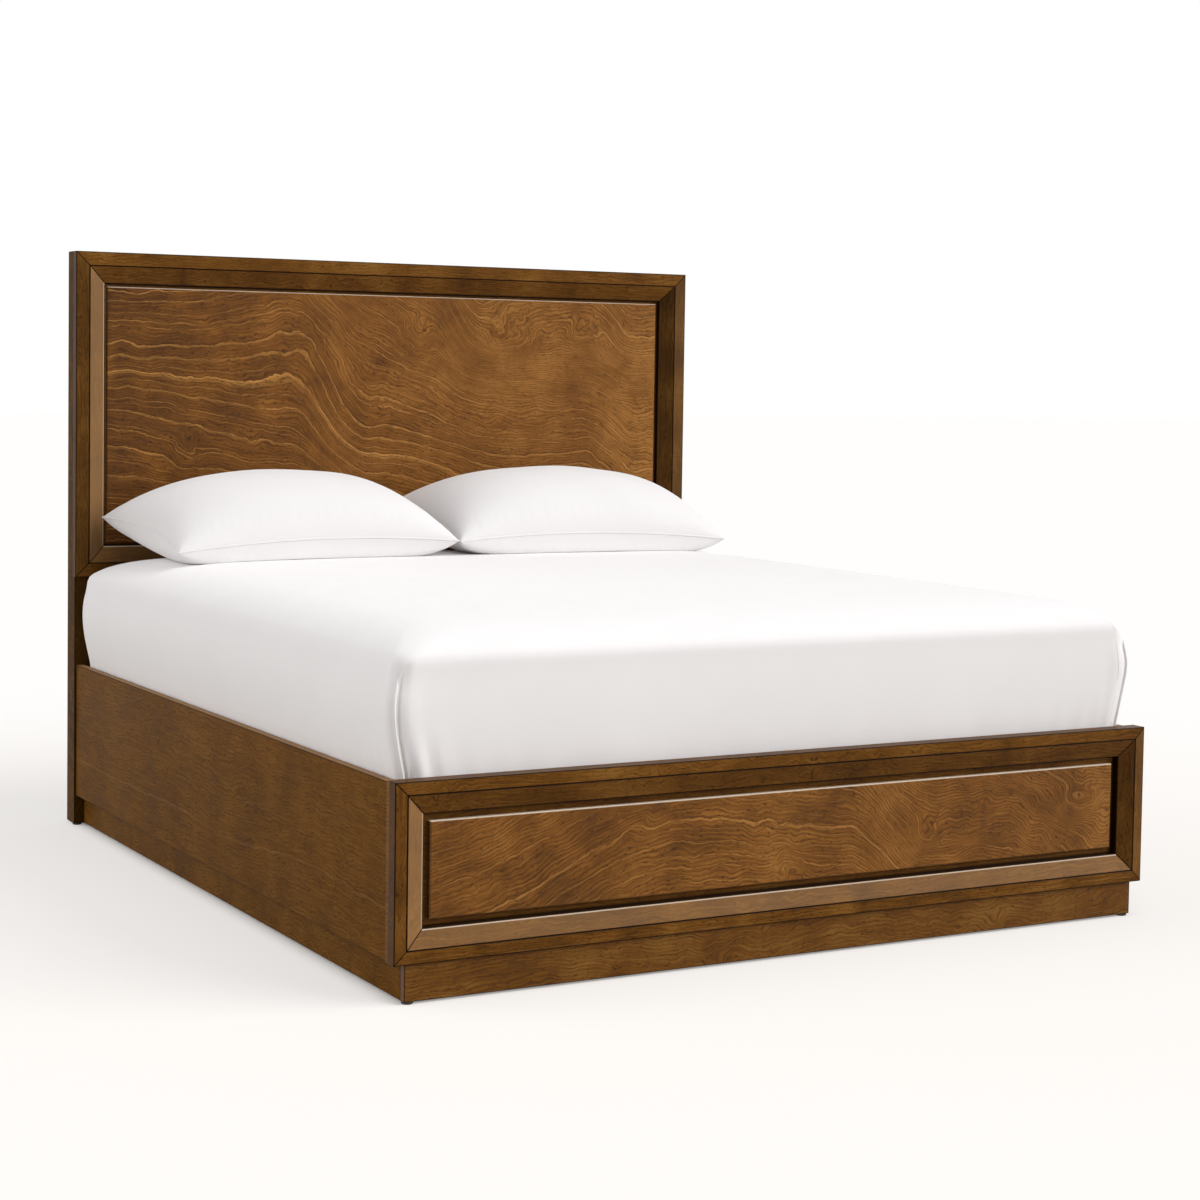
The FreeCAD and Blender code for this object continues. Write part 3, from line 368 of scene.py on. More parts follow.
# Tones of the boards' edges and tops: share, colour and reach down from the top, 0 for the edges
GLAZED_EDGES = (GLAZE_SHARE, GLAZE_COLOUR, 0)
# Rail tops painted paler: a painted reflection of the room on the top face
RAIL_TOP_REFLECTION = (0.38, PALE_WEAR_AND_LIGHT_COLOUR, 1.5 * MM)
# Field panels' edges rubbed pale all round: wear, and a painted highlight on the top edge
FIELD_EDGES_WEAR_AND_HIGHLIGHT = (0.34, PALE_WEAR_AND_LIGHT_COLOUR, 0)
# Painted highlight along the field panels' top arris
FIELD_TOP_HIGHLIGHT = (0.82, ARRIS_HIGHLIGHT_COLOUR, 2.8 * MM)
# Sizes of what disturbs the growth lines, and how far an eye's outline is warped
RIPPLE_SIZE = 75 * MM
CRINKLE_SIZE = 14 * MM
PATCH_SIZE = 300 * MM
WARP_SIZE = 55 * MM
WARP_REACH = 70 * MM
# Spacing of the fine lines of the birch and of the growth rings of the pine
FINE_SPACING = 8.5 * MM
PINE_SPACING = 5 * MM


def growth_height(add, ordered, along, across, figure, shape):
    """Gives the height whose levels are the growth lines.

    It is the distance across the board, plus slow swells, loops that come in patches, ripples
    and a crinkle, less the bends: each bend is a smooth step along the board times one up it. An
    eye adds a smooth hill of warped outline, round which the lines close.
    """
    bends, eyes = shape
    swell = streaks(add, ordered, (1 / figure["swell_long"], 1 / figure["swell_tall"], 1.0), 1.0,
                    0.4)
    ripple, crinkle, patch, loop = (
        add("TexNoise", (ordered, None, 1 / size, detail))
        for size, detail in ((RIPPLE_SIZE, 2.0), (CRINKLE_SIZE, 1.0), (PATCH_SIZE, 0.0),
                             (figure["loop_size"], 1.0)))
    patch = add("MapRange", (patch, 0.50, 0.66, 0.0, 1.0), "SMOOTHSTEP")
    loop = add("MapRange", (loop, 0.3, 0.7, -1.0, 1.0))
    loop = add("Math", (loop, patch), "MULTIPLY")
    height = across
    for noise, reach in ((swell, figure["swell"] * 2), (ripple, figure["ripple"] * 2),
                         (crinkle, figure["crinkle"]), (loop, figure["loop"])):
        height = add("Math", (noise, reach, height), "MULTIPLY_ADD")
    for start, end, rise, low, high in bends:
        bend = add("MapRange", (along, start, end, 0, -rise), "SMOOTHSTEP")
        fade = add("MapRange", (across, low, high, 0, 1), "SMOOTHSTEP")
        height = add("Math", (bend, fade, height), "MULTIPLY_ADD")
    if eyes:
        warp = add("TexNoise", (ordered, None, 1 / WARP_SIZE, 2.0, 0.55))
        warp = add("VectorMath", (warp.outputs["Color"], (0.5, 0.5, 0.5)), "SUBTRACT")
        flat = add("CombineXYZ", (along, across))
        flat = add("VectorMath", (warp, (WARP_REACH, WARP_REACH, 0.0), flat), "MULTIPLY_ADD")
    for eye_along, eye_across, radius, rise in eyes:
        away = add("VectorMath", (flat, (eye_along, eye_across, 0.0)), "DISTANCE")
        hill = add("MapRange", (away.outputs["Value"], 0.0, radius * 1.6, rise, 0.0),
                   "SMOOTHERSTEP")
        height = add("Math", (height, hill), "ADD")
    return height


def growth_lines(add, ordered, along, across, height, figure):
    """Marks the growth rings, one for each step of the height, and gives two masks.

    The pale line swells towards a ring's upper end and breaks off there; the dark one lies just
    past the break. Noise along the height sets the rings closer or wider, and each ring has a
    strength of its own that comes and goes along it.
    """
    crowd = add("TexNoise", (None, height, 0.42 / figure["spacing"], 2.0), "1D")
    even = add("Math", (height, figure["spacing"]), "DIVIDE")
    step = add("Math", (crowd, 3.0, even), "MULTIPLY_ADD")
    ring = add("Math", (step,), "FRACT")
    number = add("Math", (step,), "FLOOR")
    own = add("TexWhiteNoise", {"W": number}, "1D")
    share = figure["line"] / figure["spacing"]
    swelling = add("MapRange", (ring, 1 - 4.0 * share, 1.0, 0, 1))
    line = add("Math", (swelling, 2.2), "POWER")
    breaking = add("MapRange", (ring, 0.0, 0.22, 1, 0))
    dark = add("Math", (breaking, 1.5), "POWER")
    patches = add("TexNoise", (ordered, None, 3.6, 2.0, 0.6))
    presence = add("MapRange", (patches, 0.34, 0.56, 0.55, 1.0), "SMOOTHSTEP")
    strength = add("MapRange", (own, 0, 1, 0.25 * figure["strength"], figure["strength"]))
    strength = add("Math", (strength, presence), "MULTIPLY")
    quiet_along, quiet_across, quiet_reach = figure["quiet"]
    if quiet_reach:
        flat = add("CombineXYZ", (along, across))
        away = add("VectorMath", (flat, (quiet_along, quiet_across, 0.0)), "DISTANCE")
        loud = add("MapRange", (away.outputs["Value"], quiet_reach * 0.3, quiet_reach, 0.45, 1.0),
                   "SMOOTHSTEP")
        strength = add("Math", (strength, loud), "MULTIPLY")
    pale = add("Math", (line, strength), "MULTIPLY")
    dark = add("Math", (dark, strength), "MULTIPLY")
    return pale, dark


def stained_birch(name, grain, figure, stain, trim, seed, shape=PLAIN_SHAPE):
    """Rotary-cut birch, wiped with a walnut stain and glaze, and sealed with satin lacquer.

    The stain leaves pale winding growth lines with a dark edge, fine lines and short dark pores
    between them and soft mottling; on the headboard's field, painted light pales it rightwards.
    The trim gives the glaze that stays dark in the grooves, pale wear on the fields' edges, and
    painted light and shade: bevels paler or darker by the side they face, painted highlights along
    arrises and a painted reflection on the rail tops. The lacquer gives a soft sheen, and the
    sanded arrises round the light over their edges.
    """
    deep, middle, light, line, sheen = stain
    material, add = new_material(name)
    place, along, across, into = grain_place(add, grain)
    depth = add("Math", (into, seed * 1.37), "ADD")
    ordered = add("CombineXYZ", (along, across, depth))
    height = growth_height(add, ordered, along, across, figure, shape)
    pale, dark = growth_lines(add, ordered, along, across, height, figure)

    # Fine lines stray a little from the growth lines, drawn twice as coarse as real ones so that
    # they show; the pores are short and lie along them
    stray = add("TexNoise", (ordered, None, 18.0, 1.0))
    fine_height = add("Math", (stray, 0.020, height), "MULTIPLY_ADD")
    fine_step = add("Math", (fine_height, TAU / FINE_SPACING), "MULTIPLY")
    fine_wave = add("Math", (fine_step,), "SINE")
    fine_line = add("MapRange", (fine_wave, 0.3, 1.0, 0, 1), "SMOOTHSTEP")
    flow = add("CombineXYZ", (along, fine_height, depth))
    fibre = streaks(add, flow, (14.0, 260.0, 14.0), 2.0, 0.55)
    pores = streaks(add, flow, (90.0, 330.0, 90.0), 1.0)
    pore = add("MapRange", (pores, 0.60, 0.70, 0, 1), "SMOOTHSTEP")

    # Soft mottling, and broad bands across the grain where the fibres tilt
    mottle = add("TexNoise", {"Vector": ordered, "Scale": 9.0, "Detail": 5.0, "Roughness": 0.62,
                              "Distortion": 0.5})
    bands = streaks(add, ordered, (5.5, 0.9, 1.0), 1.0)
    # Painted light: the board grows paler rightwards by figure["pale"], as if lit from the right
    body = add("Math", (along, figure["pale"], 0.5), "MULTIPLY_ADD")
    for part, share in ((mottle, figure["mottle"] * 2.6), (bands, figure["mottle"] * 1.4),
                        (fibre, 0.9)):
        centred = add("Math", (part, 0.5), "SUBTRACT")
        body = add("Math", (centred, share, body), "MULTIPLY_ADD")
    stained = add("ValToRGB", (body,))
    ramp = stained.color_ramp
    ramp.elements[0].color = linear(deep)
    ramp.elements[1].color = linear(light)
    ramp.elements.new(0.5).color = linear(middle)
    colour = stained.outputs[0]
    layers = [(pale, 1.0, line), (dark, 0.75, deep), (fine_line, figure["fine"], deep),
              (pore, 0.55, PORE_COLOUR)]
    for mask, share, layer in layers + trim(add, place):
        amount = add("Math", (mask, share), "MULTIPLY")
        colour = add("Mix", {0: amount, 6: colour, 7: linear(layer)}, "RGBA").outputs[2]

    arris = add("Bevel", {"Radius": 2.0 * MM}, samples=6)
    relief = add("Math", (fibre, pore), "SUBTRACT")
    bump = add("Bump", {"Height": relief, "Strength": 0.12, "Distance": 0.15 * MM, "Normal": arris})
    gloss = add("MapRange", (mottle, 0.3, 0.7, 0.33, 0.43))
    shader = add("BsdfPrincipled", {"Base Color": colour, "Roughness": gloss, "Normal": bump,
                                    "IOR": 1.5, "Specular IOR Level": sheen})
    add("OutputMaterial", (shader,))
    return material


def planed_softwood(name, grain, seed):
    """Planed pine left bare: pale straight grain with darker late wood and a dry surface."""
    material, add = new_material(name)
    along, across, into = grain_place(add, grain)[1:]
    depth = add("Math", (into, seed * 0.73), "ADD")
    ordered = add("CombineXYZ", (along, across, depth))
    waver = add("TexNoise", (ordered, None, 2.2, 2.0))
    height = add("Math", (waver, 0.02, depth), "MULTIPLY_ADD")
    height = add("Math", (across, 0.35, height), "MULTIPLY_ADD")
    step = add("Math", (height, PINE_SPACING), "DIVIDE")
    ring = add("Math", (step,), "FRACT")
    fibre = streaks(add, ordered, (9.0, 420.0, 420.0), 2.0)
    late = add("Math", (fibre, 0.5, ring), "MULTIPLY_ADD")
    tone = add("ValToRGB", (late,))
    tone.color_ramp.elements[0].color = linear("#DDBF8E")
    tone.color_ramp.elements[0].position = 0.25
    tone.color_ramp.elements[1].color = linear("#B98A52")
    tone.color_ramp.elements[1].position = 1.0
    bump = add("Bump", {"Height": fibre, "Strength": 0.2, "Distance": 0.2 * MM})
    shader = add("BsdfPrincipled", {"Base Color": tone, "Roughness": 0.62, "Normal": bump})
    add("OutputMaterial", (shader,))
    return material


def zinc_plated_steel():
    """Zinc-plated steel: cool grey metal with a faint crystal bloom in its shine."""
    material, add = new_material("zinc_plated_steel")
    place = add("TexCoord").outputs["Object"]
    bloom = add("TexVoronoi", {"Vector": place, "Scale": 260.0})
    cloud = add("TexNoise", (place, None, 70.0, 3.0))
    mix = add("Mix", {0: cloud, 6: linear("#A9ABAD"), 7: linear("#C9C8C2")}, "RGBA")
    rough = add("MapRange", (bloom.outputs["Distance"], 0, 0.6, 0.28, 0.42))
    shader = add("BsdfPrincipled", {"Base Color": mix.outputs[2], "Metallic": 1.0,
                                    "Roughness": rough})
    add("OutputMaterial", (shader,))
    return material


def moulded_polyethylene():
    """Moulded black polyethylene: near-black, slightly waxy, with a fine moulding grain."""
    material, add = new_material("black_polyethylene")
    place = add("TexCoord").outputs["Object"]
    grit = add("TexNoise", (place, None, 900.0, 2.0))
    shade = add("Mix", {0: grit, 6: linear("#141211"), 7: linear("#24201D")}, "RGBA")
    bump = add("Bump", {"Height": grit, "Strength": 0.15, "Distance": 0.1 * MM})
    shader = add("BsdfPrincipled", {"Base Color": shade.outputs[2], "Roughness": 0.48,
                                    "Normal": bump})
    add("OutputMaterial", (shader,))
    return material


def woven_cotton(name, colour, shadow, thread):
    """Plain-woven cotton percale: matt white, threads crossing at right angles, faint slubs.

    The threads follow the piece's own flat places; they are drawn a little coarser than real
    ones so that they show close up.
    """
    material, add = new_material(name)
    flat = add("UVMap", uv_map="flat")
    turns = add("VectorMath", (flat, (TAU / thread, TAU / thread, 0.0)), "MULTIPLY")
    parts = add("SeparateXYZ", (turns,))
    warp = add("Math", (parts.outputs["X"],), "SINE")
    weft = add("Math", (parts.outputs["Y"],), "SINE")
    weave = add("Math", (warp, weft), "MULTIPLY")
    slubs = streaks(add, flat, (60.0, 900.0, 0.0), 2.0)
    cloud = add("TexNoise", (flat, None, 6.0, 3.0))
    relief = add("Math", (slubs, 0.8, weave), "MULTIPLY_ADD")
    bump = add("Bump", {"Height": relief, "Strength": 0.10, "Distance": 0.1 * MM})
    tint = add("MapRange", (cloud, 0.3, 0.7, 0.0, 0.35))
    shade = add("Mix", {0: tint, 6: linear(colour), 7: linear(shadow)}, "RGBA")
    shader = add("BsdfPrincipled", {"Base Color": shade.outputs[2], "Roughness": 0.88,
                                    "Normal": bump, "Sheen Weight": 0.18, "Sheen Roughness": 0.5,
                                    "Specular IOR Level": 0.25})
    add("OutputMaterial", (shader,))
    return material


# Surfaces


def grid_quads(rows, columns, first):
    """Numbers the quads of a rows by columns grid of points, starting at a point's number."""
    corner = first + np.arange(rows - 1)[:, None] * columns + np.arange(columns - 1)[None, :]
    return np.stack(
        [corner, corner + 1, corner + columns + 1, corner + columns], axis=-1).reshape(-1, 4)


def show(name, data):
    """Puts a mesh, a lamp or a camera into the scene as an object."""
    holder = bpy.data.objects.new(name, data)
    bpy.context.scene.collection.objects.link(holder)
    return holder


def new_surface(name, patches, material):
    """Joins grids of points into one closed mesh; each patch is its points and its flat places."""
    quads, points, flats, count = [], [], [], 0
    for place, flat in patches:
        rows, columns = place.shape[:2]
        quads.append(grid_quads(rows, columns, count))
        points.append(place.reshape(-1, 3))
        flats.append(flat.reshape(-1, 2))
        count += rows * columns
    quads = np.concatenate(quads)
    mesh = bpy.data.meshes.new(name)
    mesh.from_pydata(np.concatenate(points).tolist(), [], quads.tolist())
    layer = mesh.uv_layers.new(name="flat")
    layer.data.foreach_set("uv", np.concatenate(flats)[quads.ravel()].ravel())
    weld = bmesh.new()
    weld.from_mesh(mesh)
    bmesh.ops.remove_doubles(weld, verts=weld.verts, dist=0.02 * MM)
    bmesh.ops.dissolve_degenerate(weld, edges=weld.edges, dist=0.01 * MM)
    bmesh.ops.recalc_face_normals(weld, faces=weld.faces)
    weld.to_mesh(mesh)
    weld.free()
    mesh.polygons.foreach_set("use_smooth", np.ones(len(mesh.polygons), bool))
    mesh.materials.append(material)
    return show(name, mesh)


def smooth_rows(table, count):
    """Passes a Catmull-Rom curve through the rows of a table and reads it at even shares.

    Between two rows the curve is the cubic with their values and half their neighbours'
    difference as slope, and shares run by the length of the chords.
    """
    table = np.asarray(table, float)
    steps = np.linalg.norm(np.diff(table, axis=0), axis=1)
    marks = np.concatenate([[0], np.cumsum(steps)])
    slopes = np.gradient(table, marks, axis=0)
    wanted = np.linspace(0, marks[-1], count)
    index = np.clip(np.searchsorted(marks, wanted, side="right") - 1, 0, len(marks) - 2)
    span = (marks[index + 1] - marks[index])[:, None]
    t = (wanted[:, None] - marks[index][:, None]) / span
    first, last = table[index], table[index + 1]
    slope_first, slope_last = slopes[index] * span, slopes[index + 1] * span
    return ((2 * t**3 - 3 * t**2 + 1) * first + (t**3 - 2 * t**2 + t) * slope_first
            + (3 * t**2 - 2 * t**3) * last + (t**3 - t**2) * slope_last)


def surface_normals(points):
    """Gives the unit normal of a grid of points: the cross product of its two directions."""
    along = np.gradient(points, axis=1)
    up = np.gradient(points, axis=0)
    normal = np.cross(along, up)
    length = np.linalg.norm(normal, axis=-1, keepdims=True)
    return normal / np.maximum(length, 1e-12)


def ease(value, start, end):
    """Rises smoothly from 0 at start to 1 at end: 3t^2 - 2t^3."""
    t = np.clip((value - start) / (end - start), 0, 1)
    return t * t * (3 - 2 * t)


def bell(value, width):
    """Falls from 1 at zero to both sides: e to the power of -(value/width)^2."""
    return np.exp(-(value / width) ** 2)


def mattress_profile(inset, rows):
    """Gives rows of height, half width, half length and corner radius, from the border's foot up.

    Each row follows the shares of the border and the crown, drawn in by the inset.
    """
    half_x = MATTRESS_WIDTH / 2 - inset
    half_y = MATTRESS_LENGTH / 2 - inset
    low = MATTRESS_BOTTOM + inset
    border = BORDER - inset
    crown = CROWN - inset
    table = []
    for height, rounding, bulge in BORDER_SHARES:
        taken = BOTTOM_ROUNDING * rounding
        table.append((low + border * height, half_x + SIDE_BULGE * bulge - taken,
                      half_y + END_BULGE * bulge - taken, CORNER_RADIUS - inset - taken / 2))
    for rise, inwards in CROWN_SHARES:
        taken = CROWN_REACH * inwards
        table.append((low + border + crown * rise, half_x - taken, half_y - taken,
                      CORNER_RADIUS - inset + taken / 2))
    return smooth_rows(table, rows)


def ring_columns(arc_steps, straight_steps):
    """Lays out a ring's columns: four round corners and four straight sides between them.

    Each column is a mix, by a share, of two corner points; a corner point is the corner's signs
    and its direction out. The straight sides have more columns near the corners. Gives the
    columns and the number of each corner's middle column.
    """
    corners = ((1, -1, -90), (1, 1, 0), (-1, 1, 90), (-1, -1, 180))
    columns, middles = [], []
    for number, (sign_x, sign_y, start) in enumerate(corners):
        half = arc_steps // 2
        away = np.linspace(-1, 1, arc_steps + 1)
        angles = np.radians(start + 45 + 45 * np.sign(away) * np.abs(away) ** 1.4)
        middles.append(len(columns) + half)
        for angle in angles:
            out = (sign_x, sign_y, math.cos(angle), math.sin(angle))
            columns.append((*out, *out, 0.0))
        next_x, next_y, next_start = corners[(number + 1) % 4]
        first = (sign_x, sign_y, math.cos(angles[-1]), math.sin(angles[-1]))
        turn = math.radians(next_start)
        last = (next_x, next_y, math.cos(turn), math.sin(turn))
        shares = np.linspace(0, 1, straight_steps + 1)[1:-1]
        for share in (1 - np.cos(math.pi * shares)) / 2:
            columns.append((*first, *last, share))
    columns.append(columns[0])
    return np.array(columns).T, middles


def rings(profile, layout):
    """Gives the points of every ring: corner centres plus radius times direction, mixed by share."""
    height, half_x, half_y, radius = (profile[:, number, None] for number in range(4))
    ax, ay, au, av, bx, by, bu, bv, share = layout
    x, y = ((a * (half - radius) + out * radius) * (1 - share)
            + (b * (half - radius) + on * radius) * share
            for a, out, b, on, half in ((ax, au, bx, bu, half_x), (ay, av, by, bv, half_y)))
    return np.stack([x, y + MATTRESS_CENTRE, np.broadcast_to(height, x.shape)], axis=-1)


def closing_rings(ring, count):
    """Draws a ring in evenly to its centre, level with it."""
    centre = ring.mean(axis=0)
    shares = np.linspace(1, 0, count + 1)[1:, None, None]
    return centre + (ring - centre) * shares


def flat_places(points):
    """Measures a grid along its rows and columns, which is where its cloth lay flat."""
    around = np.linalg.norm(np.diff(points, axis=1), axis=-1).max(axis=0)
    up = np.linalg.norm(np.diff(points, axis=0), axis=-1).mean(axis=1)
    around = np.concatenate([[0], np.cumsum(around)])
    up = np.concatenate([[0], np.cumsum(up)])
    return np.stack(np.meshgrid(around, up), axis=-1)


def waves(places, wavelengths, rng):
    """Adds sine waves of several lengths with random phases, to at most about one."""
    total = np.zeros_like(places)
    for length in wavelengths:
        total += np.sin(places * TAU / length + rng.uniform(0, TAU))
    return total / len(wavelengths)


def corner_distance(ring, middles):
    """Gives the signed distance along a ring from the nearest corner's middle column."""
    steps = np.linalg.norm(np.diff(ring, axis=0), axis=-1)
    marks = np.concatenate([[0], np.cumsum(steps)])
    around = marks[-1]
    offsets = np.stack([(marks - marks[m] + around / 2) % around - around / 2 for m in middles])
    nearest = np.abs(offsets).argmin(axis=0)
    return offsets[nearest, np.arange(len(marks))], nearest


def sheet_relief(points, middles, rng):
    """Gives how far the fitted sheet stands out: full corners, pinches, gathers and soft folds.

    Each corner swells by a bell across it and one up it; at the foot the cloth dips beside the
    seam by a narrow and a wide bell; a small bell stands at the top of the seam, and creases fan
    out from it and fade with length; folds are waves along the side that fade away from the
    corner, gathers are waves just above the frame, and slow waves slacken the whole.
    """
    border_top = MATTRESS_BOTTOM + BORDER
    middle_row = np.abs(points[:, 0, 2] - (MATTRESS_BOTTOM + BORDER / 2)).argmin()
    from_seam, corner = corner_distance(points[middle_row], middles)
    height = points[..., 2]
    side = np.broadcast_to(from_seam, height.shape)
    out, wide, tall, below = CORNER_SWELL
    swell = bell(side, wide * MM) * out * MM
    swell *= bell(height - SHEET_SEAM_TOP + below * MM, tall * MM)
    at_foot = (corner == 0) | (corner == 3)
    swell *= np.where(at_foot, 1.0, HEAD_SHARE)
    inner = side * np.where(corner == 0, -1.0, 1.0)
    groove = sum(bell(inner - place * MM, width * MM) * depth * MM
                 for place, width, depth in SEAM_DIPS)
    groove *= ease(SHEET_SEAM_TOP + 6 * MM - height, 0, 0.03) * at_foot
    pinch = np.exp(-((side / (9 * MM)) ** 2 + ((height - SHEET_SEAM_TOP) / (12 * MM)) ** 2))
    pinch *= 2.4 * MM
    crease = np.zeros_like(height)
    rise = height - SHEET_SEAM_TOP
    for turn, reach, depth in CREASES:
        angle = math.radians(turn)
        forth = side * math.cos(angle) + rise * math.sin(angle)
        off = -side * math.sin(angle) + rise * math.cos(angle)
        width = 3.5 * MM + np.maximum(forth, 0) * 0.09
        crease -= (depth * MM * bell(off, width) * ease(forth, 2 * MM, 14 * MM)
                   * np.exp(-np.maximum(forth, 0) / (reach * MM * 0.55)))
    folds = waves(side + corner * 7.3, FOLDS[0], rng) * FOLDS[1] * MM
    folds *= np.exp(-np.abs(side) / 0.50) * ease(np.abs(side), 12 * MM, 60 * MM)
    folds *= 1 - ease(height, MATTRESS_BOTTOM + 0.10, border_top)
    gathers = waves(side + corner * 3.1, GATHERS[0], rng) * GATHERS[1] * MM
    gathers *= np.exp(-np.abs(side) / 1.2) * ease(np.abs(side), 6 * MM, 30 * MM)
    gathers *= 1 - ease(height, MATTRESS_BOTTOM + 0.055, MATTRESS_BOTTOM + 0.15)
    slack = waves(points[..., 0] * 0.6 + points[..., 1] + height * 0.35, SLACK[0], rng)
    slack = slack * SLACK[1] * MM * (1 - ease(height, border_top, border_top + 0.04) * 0.6)
    return swell - groove + pinch + crease + folds + gathers + slack


def corner_seams(skirt, middles):
    """The piped seam up each corner: a thin tube on the corner's middle column, fine at its ends."""
    seams = []
    for middle in middles:
        column = skirt[:, middle]
        rows = (column[:, 2] > MATTRESS_BOTTOM + 20 * MM) & (column[:, 2] < SHEET_SEAM_TOP)
        path = smooth_rows(column[rows], 160)
        outwards = np.array([np.sign(path[0, 0]), np.sign(path[0, 1] - MATTRESS_CENTRE), 0.0])
        outwards /= np.linalg.norm(outwards)
        share = np.linspace(0, 1, len(path))[:, None]
        fine = ease(share, -0.001, 0.03) * ease(1 - share, -0.001, 0.10)
        radius = SHEET_SEAM_RADIUS * np.sqrt(fine)
        path = path + outwards * SHEET_SEAM_RADIUS * 0.7
        seams.append(tube(path, np.gradient(path, axis=0), outwards, radius, 10))
    return seams


def make_sheet(material):
    """The fitted sheet: tucked under, up the border, over the crown and closed on top."""
    rng = np.random.default_rng(SHEET_SEED)
    layout, middles = ring_columns(28, 66)
    profile = mattress_profile(0, 74)
    body = rings(profile, layout)
    tuck_shares = np.linspace(1, 0, 10)[:-1, None]
    tuck_profile = np.repeat(profile[:1], len(tuck_shares), axis=0)
    tuck_profile[:, 1:3] -= tuck_shares * (TUCK - BOTTOM_ROUNDING)
    tuck_profile[:, 3:] += tuck_shares * TUCK / 4
    tuck = rings(tuck_profile, layout)
    skirt = np.concatenate([tuck, body])
    lift = sheet_relief(skirt, middles, rng)
    lift[:len(tuck)] *= np.linspace(0, 1, len(tuck))[:, None]
    skirt = skirt + surface_normals(skirt) * lift[..., None]
    points = np.concatenate([skirt, closing_rings(skirt[-1], 9)])
    patches = [(points, flat_places(points))]
    patches += [(seam, flat_places(seam)) for seam in corner_seams(skirt, middles)]
    sheet = new_surface("fitted_percale_sheet", patches, material)
    wall = sheet.modifiers.new("cloth_thickness", "SOLIDIFY")
    wall.thickness = SHEET_THICKNESS
    wall.offset = -1
    return sheet


def make_mattress(material):
    """The mattress in its ticking: the same form drawn in under the sheet, closed below and above."""
    layout, middles = ring_columns(16, 30)
    body = rings(mattress_profile(3 * MM, 40), layout)
    points = np.concatenate([closing_rings(body[0], 6)[::-1], body, closing_rings(body[-1], 6)])
    return new_surface("mattress_in_ticking", [(points, flat_places(points))], material)


def mattress_top(x, y):
    """Gives the height of the sheet's top: the crown's share at the distance in from the side."""
    across = np.array([0.0] + [inwards for rise, inwards in CROWN_SHARES]) * CROWN_REACH
    rises = np.array([0.0] + [rise for rise, inwards in CROWN_SHARES]) * CROWN
    inwards = np.minimum(
        MATTRESS_WIDTH / 2 - np.abs(x), MATTRESS_LENGTH / 2 - np.abs(y - MATTRESS_CENTRE))
    return MATTRESS_BOTTOM + BORDER + np.interp(inwards, across, rises)


def pillow_skin(side, upper, columns, rows, rng):
    """Gives one side of a pillow over u from end to end and v from front to back, -1 to 1.

    The seam runs between the four corners; its front and back are lifted and drawn in by
    1 - u^2 and its ends by 1 - v^2. The filling stands above it by the rise times
    ((1 - |u|^2.5)(1 - v^2))^0.48, and below it by the sink times
    ((1 - |u|^3.6)(1 - v^2))^0.42. The lower side also swells out past the seam before it turns
    under, by a half sine of the distance from the seam, and it lies flat on the mattress.
    Gathers stand along the seam and fade into the cloth.
    """
    front_left, front_right, back_left, back_right = (
        np.array(corner) * MM for corner in PILLOW_CORNERS[side])
    u = np.sin(np.linspace(-1, 1, columns) * math.pi / 2)[None, :]
    v = np.sin(np.linspace(-1, 1, rows) * math.pi / 2)[:, None]
    across = ((u + 1) / 2)[..., None]
    forth = ((v + 1) / 2)[..., None]
    seam = ((front_left * (1 - across) + front_right * across) * (1 - forth)
            + (back_left * (1 - across) + back_right * across) * forth)
    width = np.linalg.norm(front_right - front_left)
    length = np.linalg.norm(back_left - front_left)
    drawn = 1 - u**2
    end_drawn = 1 - v**2
    x = seam[..., 0] - u * PILLOW_END_DRAW * end_drawn
    y = seam[..., 1] - v * PILLOW_FRONT_DRAW * drawn
    z = (seam[..., 2] + PILLOW_FRONT_LIFT * drawn * (1 - forth[..., 0])
         + PILLOW_END_LIFT * np.abs(u) ** 3 * end_drawn)
    to_end = (1 - np.abs(u)) * width / 2 * np.ones_like(x)
    to_side = (1 - np.abs(v)) * length / 2 * np.ones_like(x)
    wrinkle = (waves(x, LONG_GATHERS, rng) * np.exp(-to_side / 0.024)
               * ease(to_end, 0.01, 0.07) * 1.6 * MM)
    wrinkle += waves(y, SHORT_GATHERS, rng) * np.exp(-to_end / 0.030) * 1.4 * MM
    wrinkle *= ease(to_side, 0, 0.02) * ease(to_end, 0, 0.02)
    if upper:
        full = ((1 - np.abs(u) ** 2.5) * (1 - v**2)) ** 0.48
        soft = waves(x + 0.6 * y, FILLING_WAVES, rng) * 2.0 * MM * full
        return np.stack([x, y, z + PILLOW_RISE * full + wrinkle + soft], axis=-1)
    full = ((1 - np.abs(u) ** 3.6) * (1 - v**2)) ** 0.42
    bow_x = np.sin(math.pi * np.clip(to_end / PILLOW_BULGE_REACH, 0, 1)) * np.sqrt(end_drawn)
    bow_y = np.sin(math.pi * np.clip(to_side / PILLOW_BULGE_REACH, 0, 1)) * drawn**0.35
    x = x + np.sign(u) * (PILLOW_END_BULGE * bow_x + wrinkle * 0.5)
    y = y + np.sign(v) * (PILLOW_BULGE * bow_y + wrinkle * 0.5)
    z = np.maximum(z - PILLOW_SINK * full, mattress_top(x, y) + SOFT_GAP)
    return np.stack([x, y, z], axis=-1)


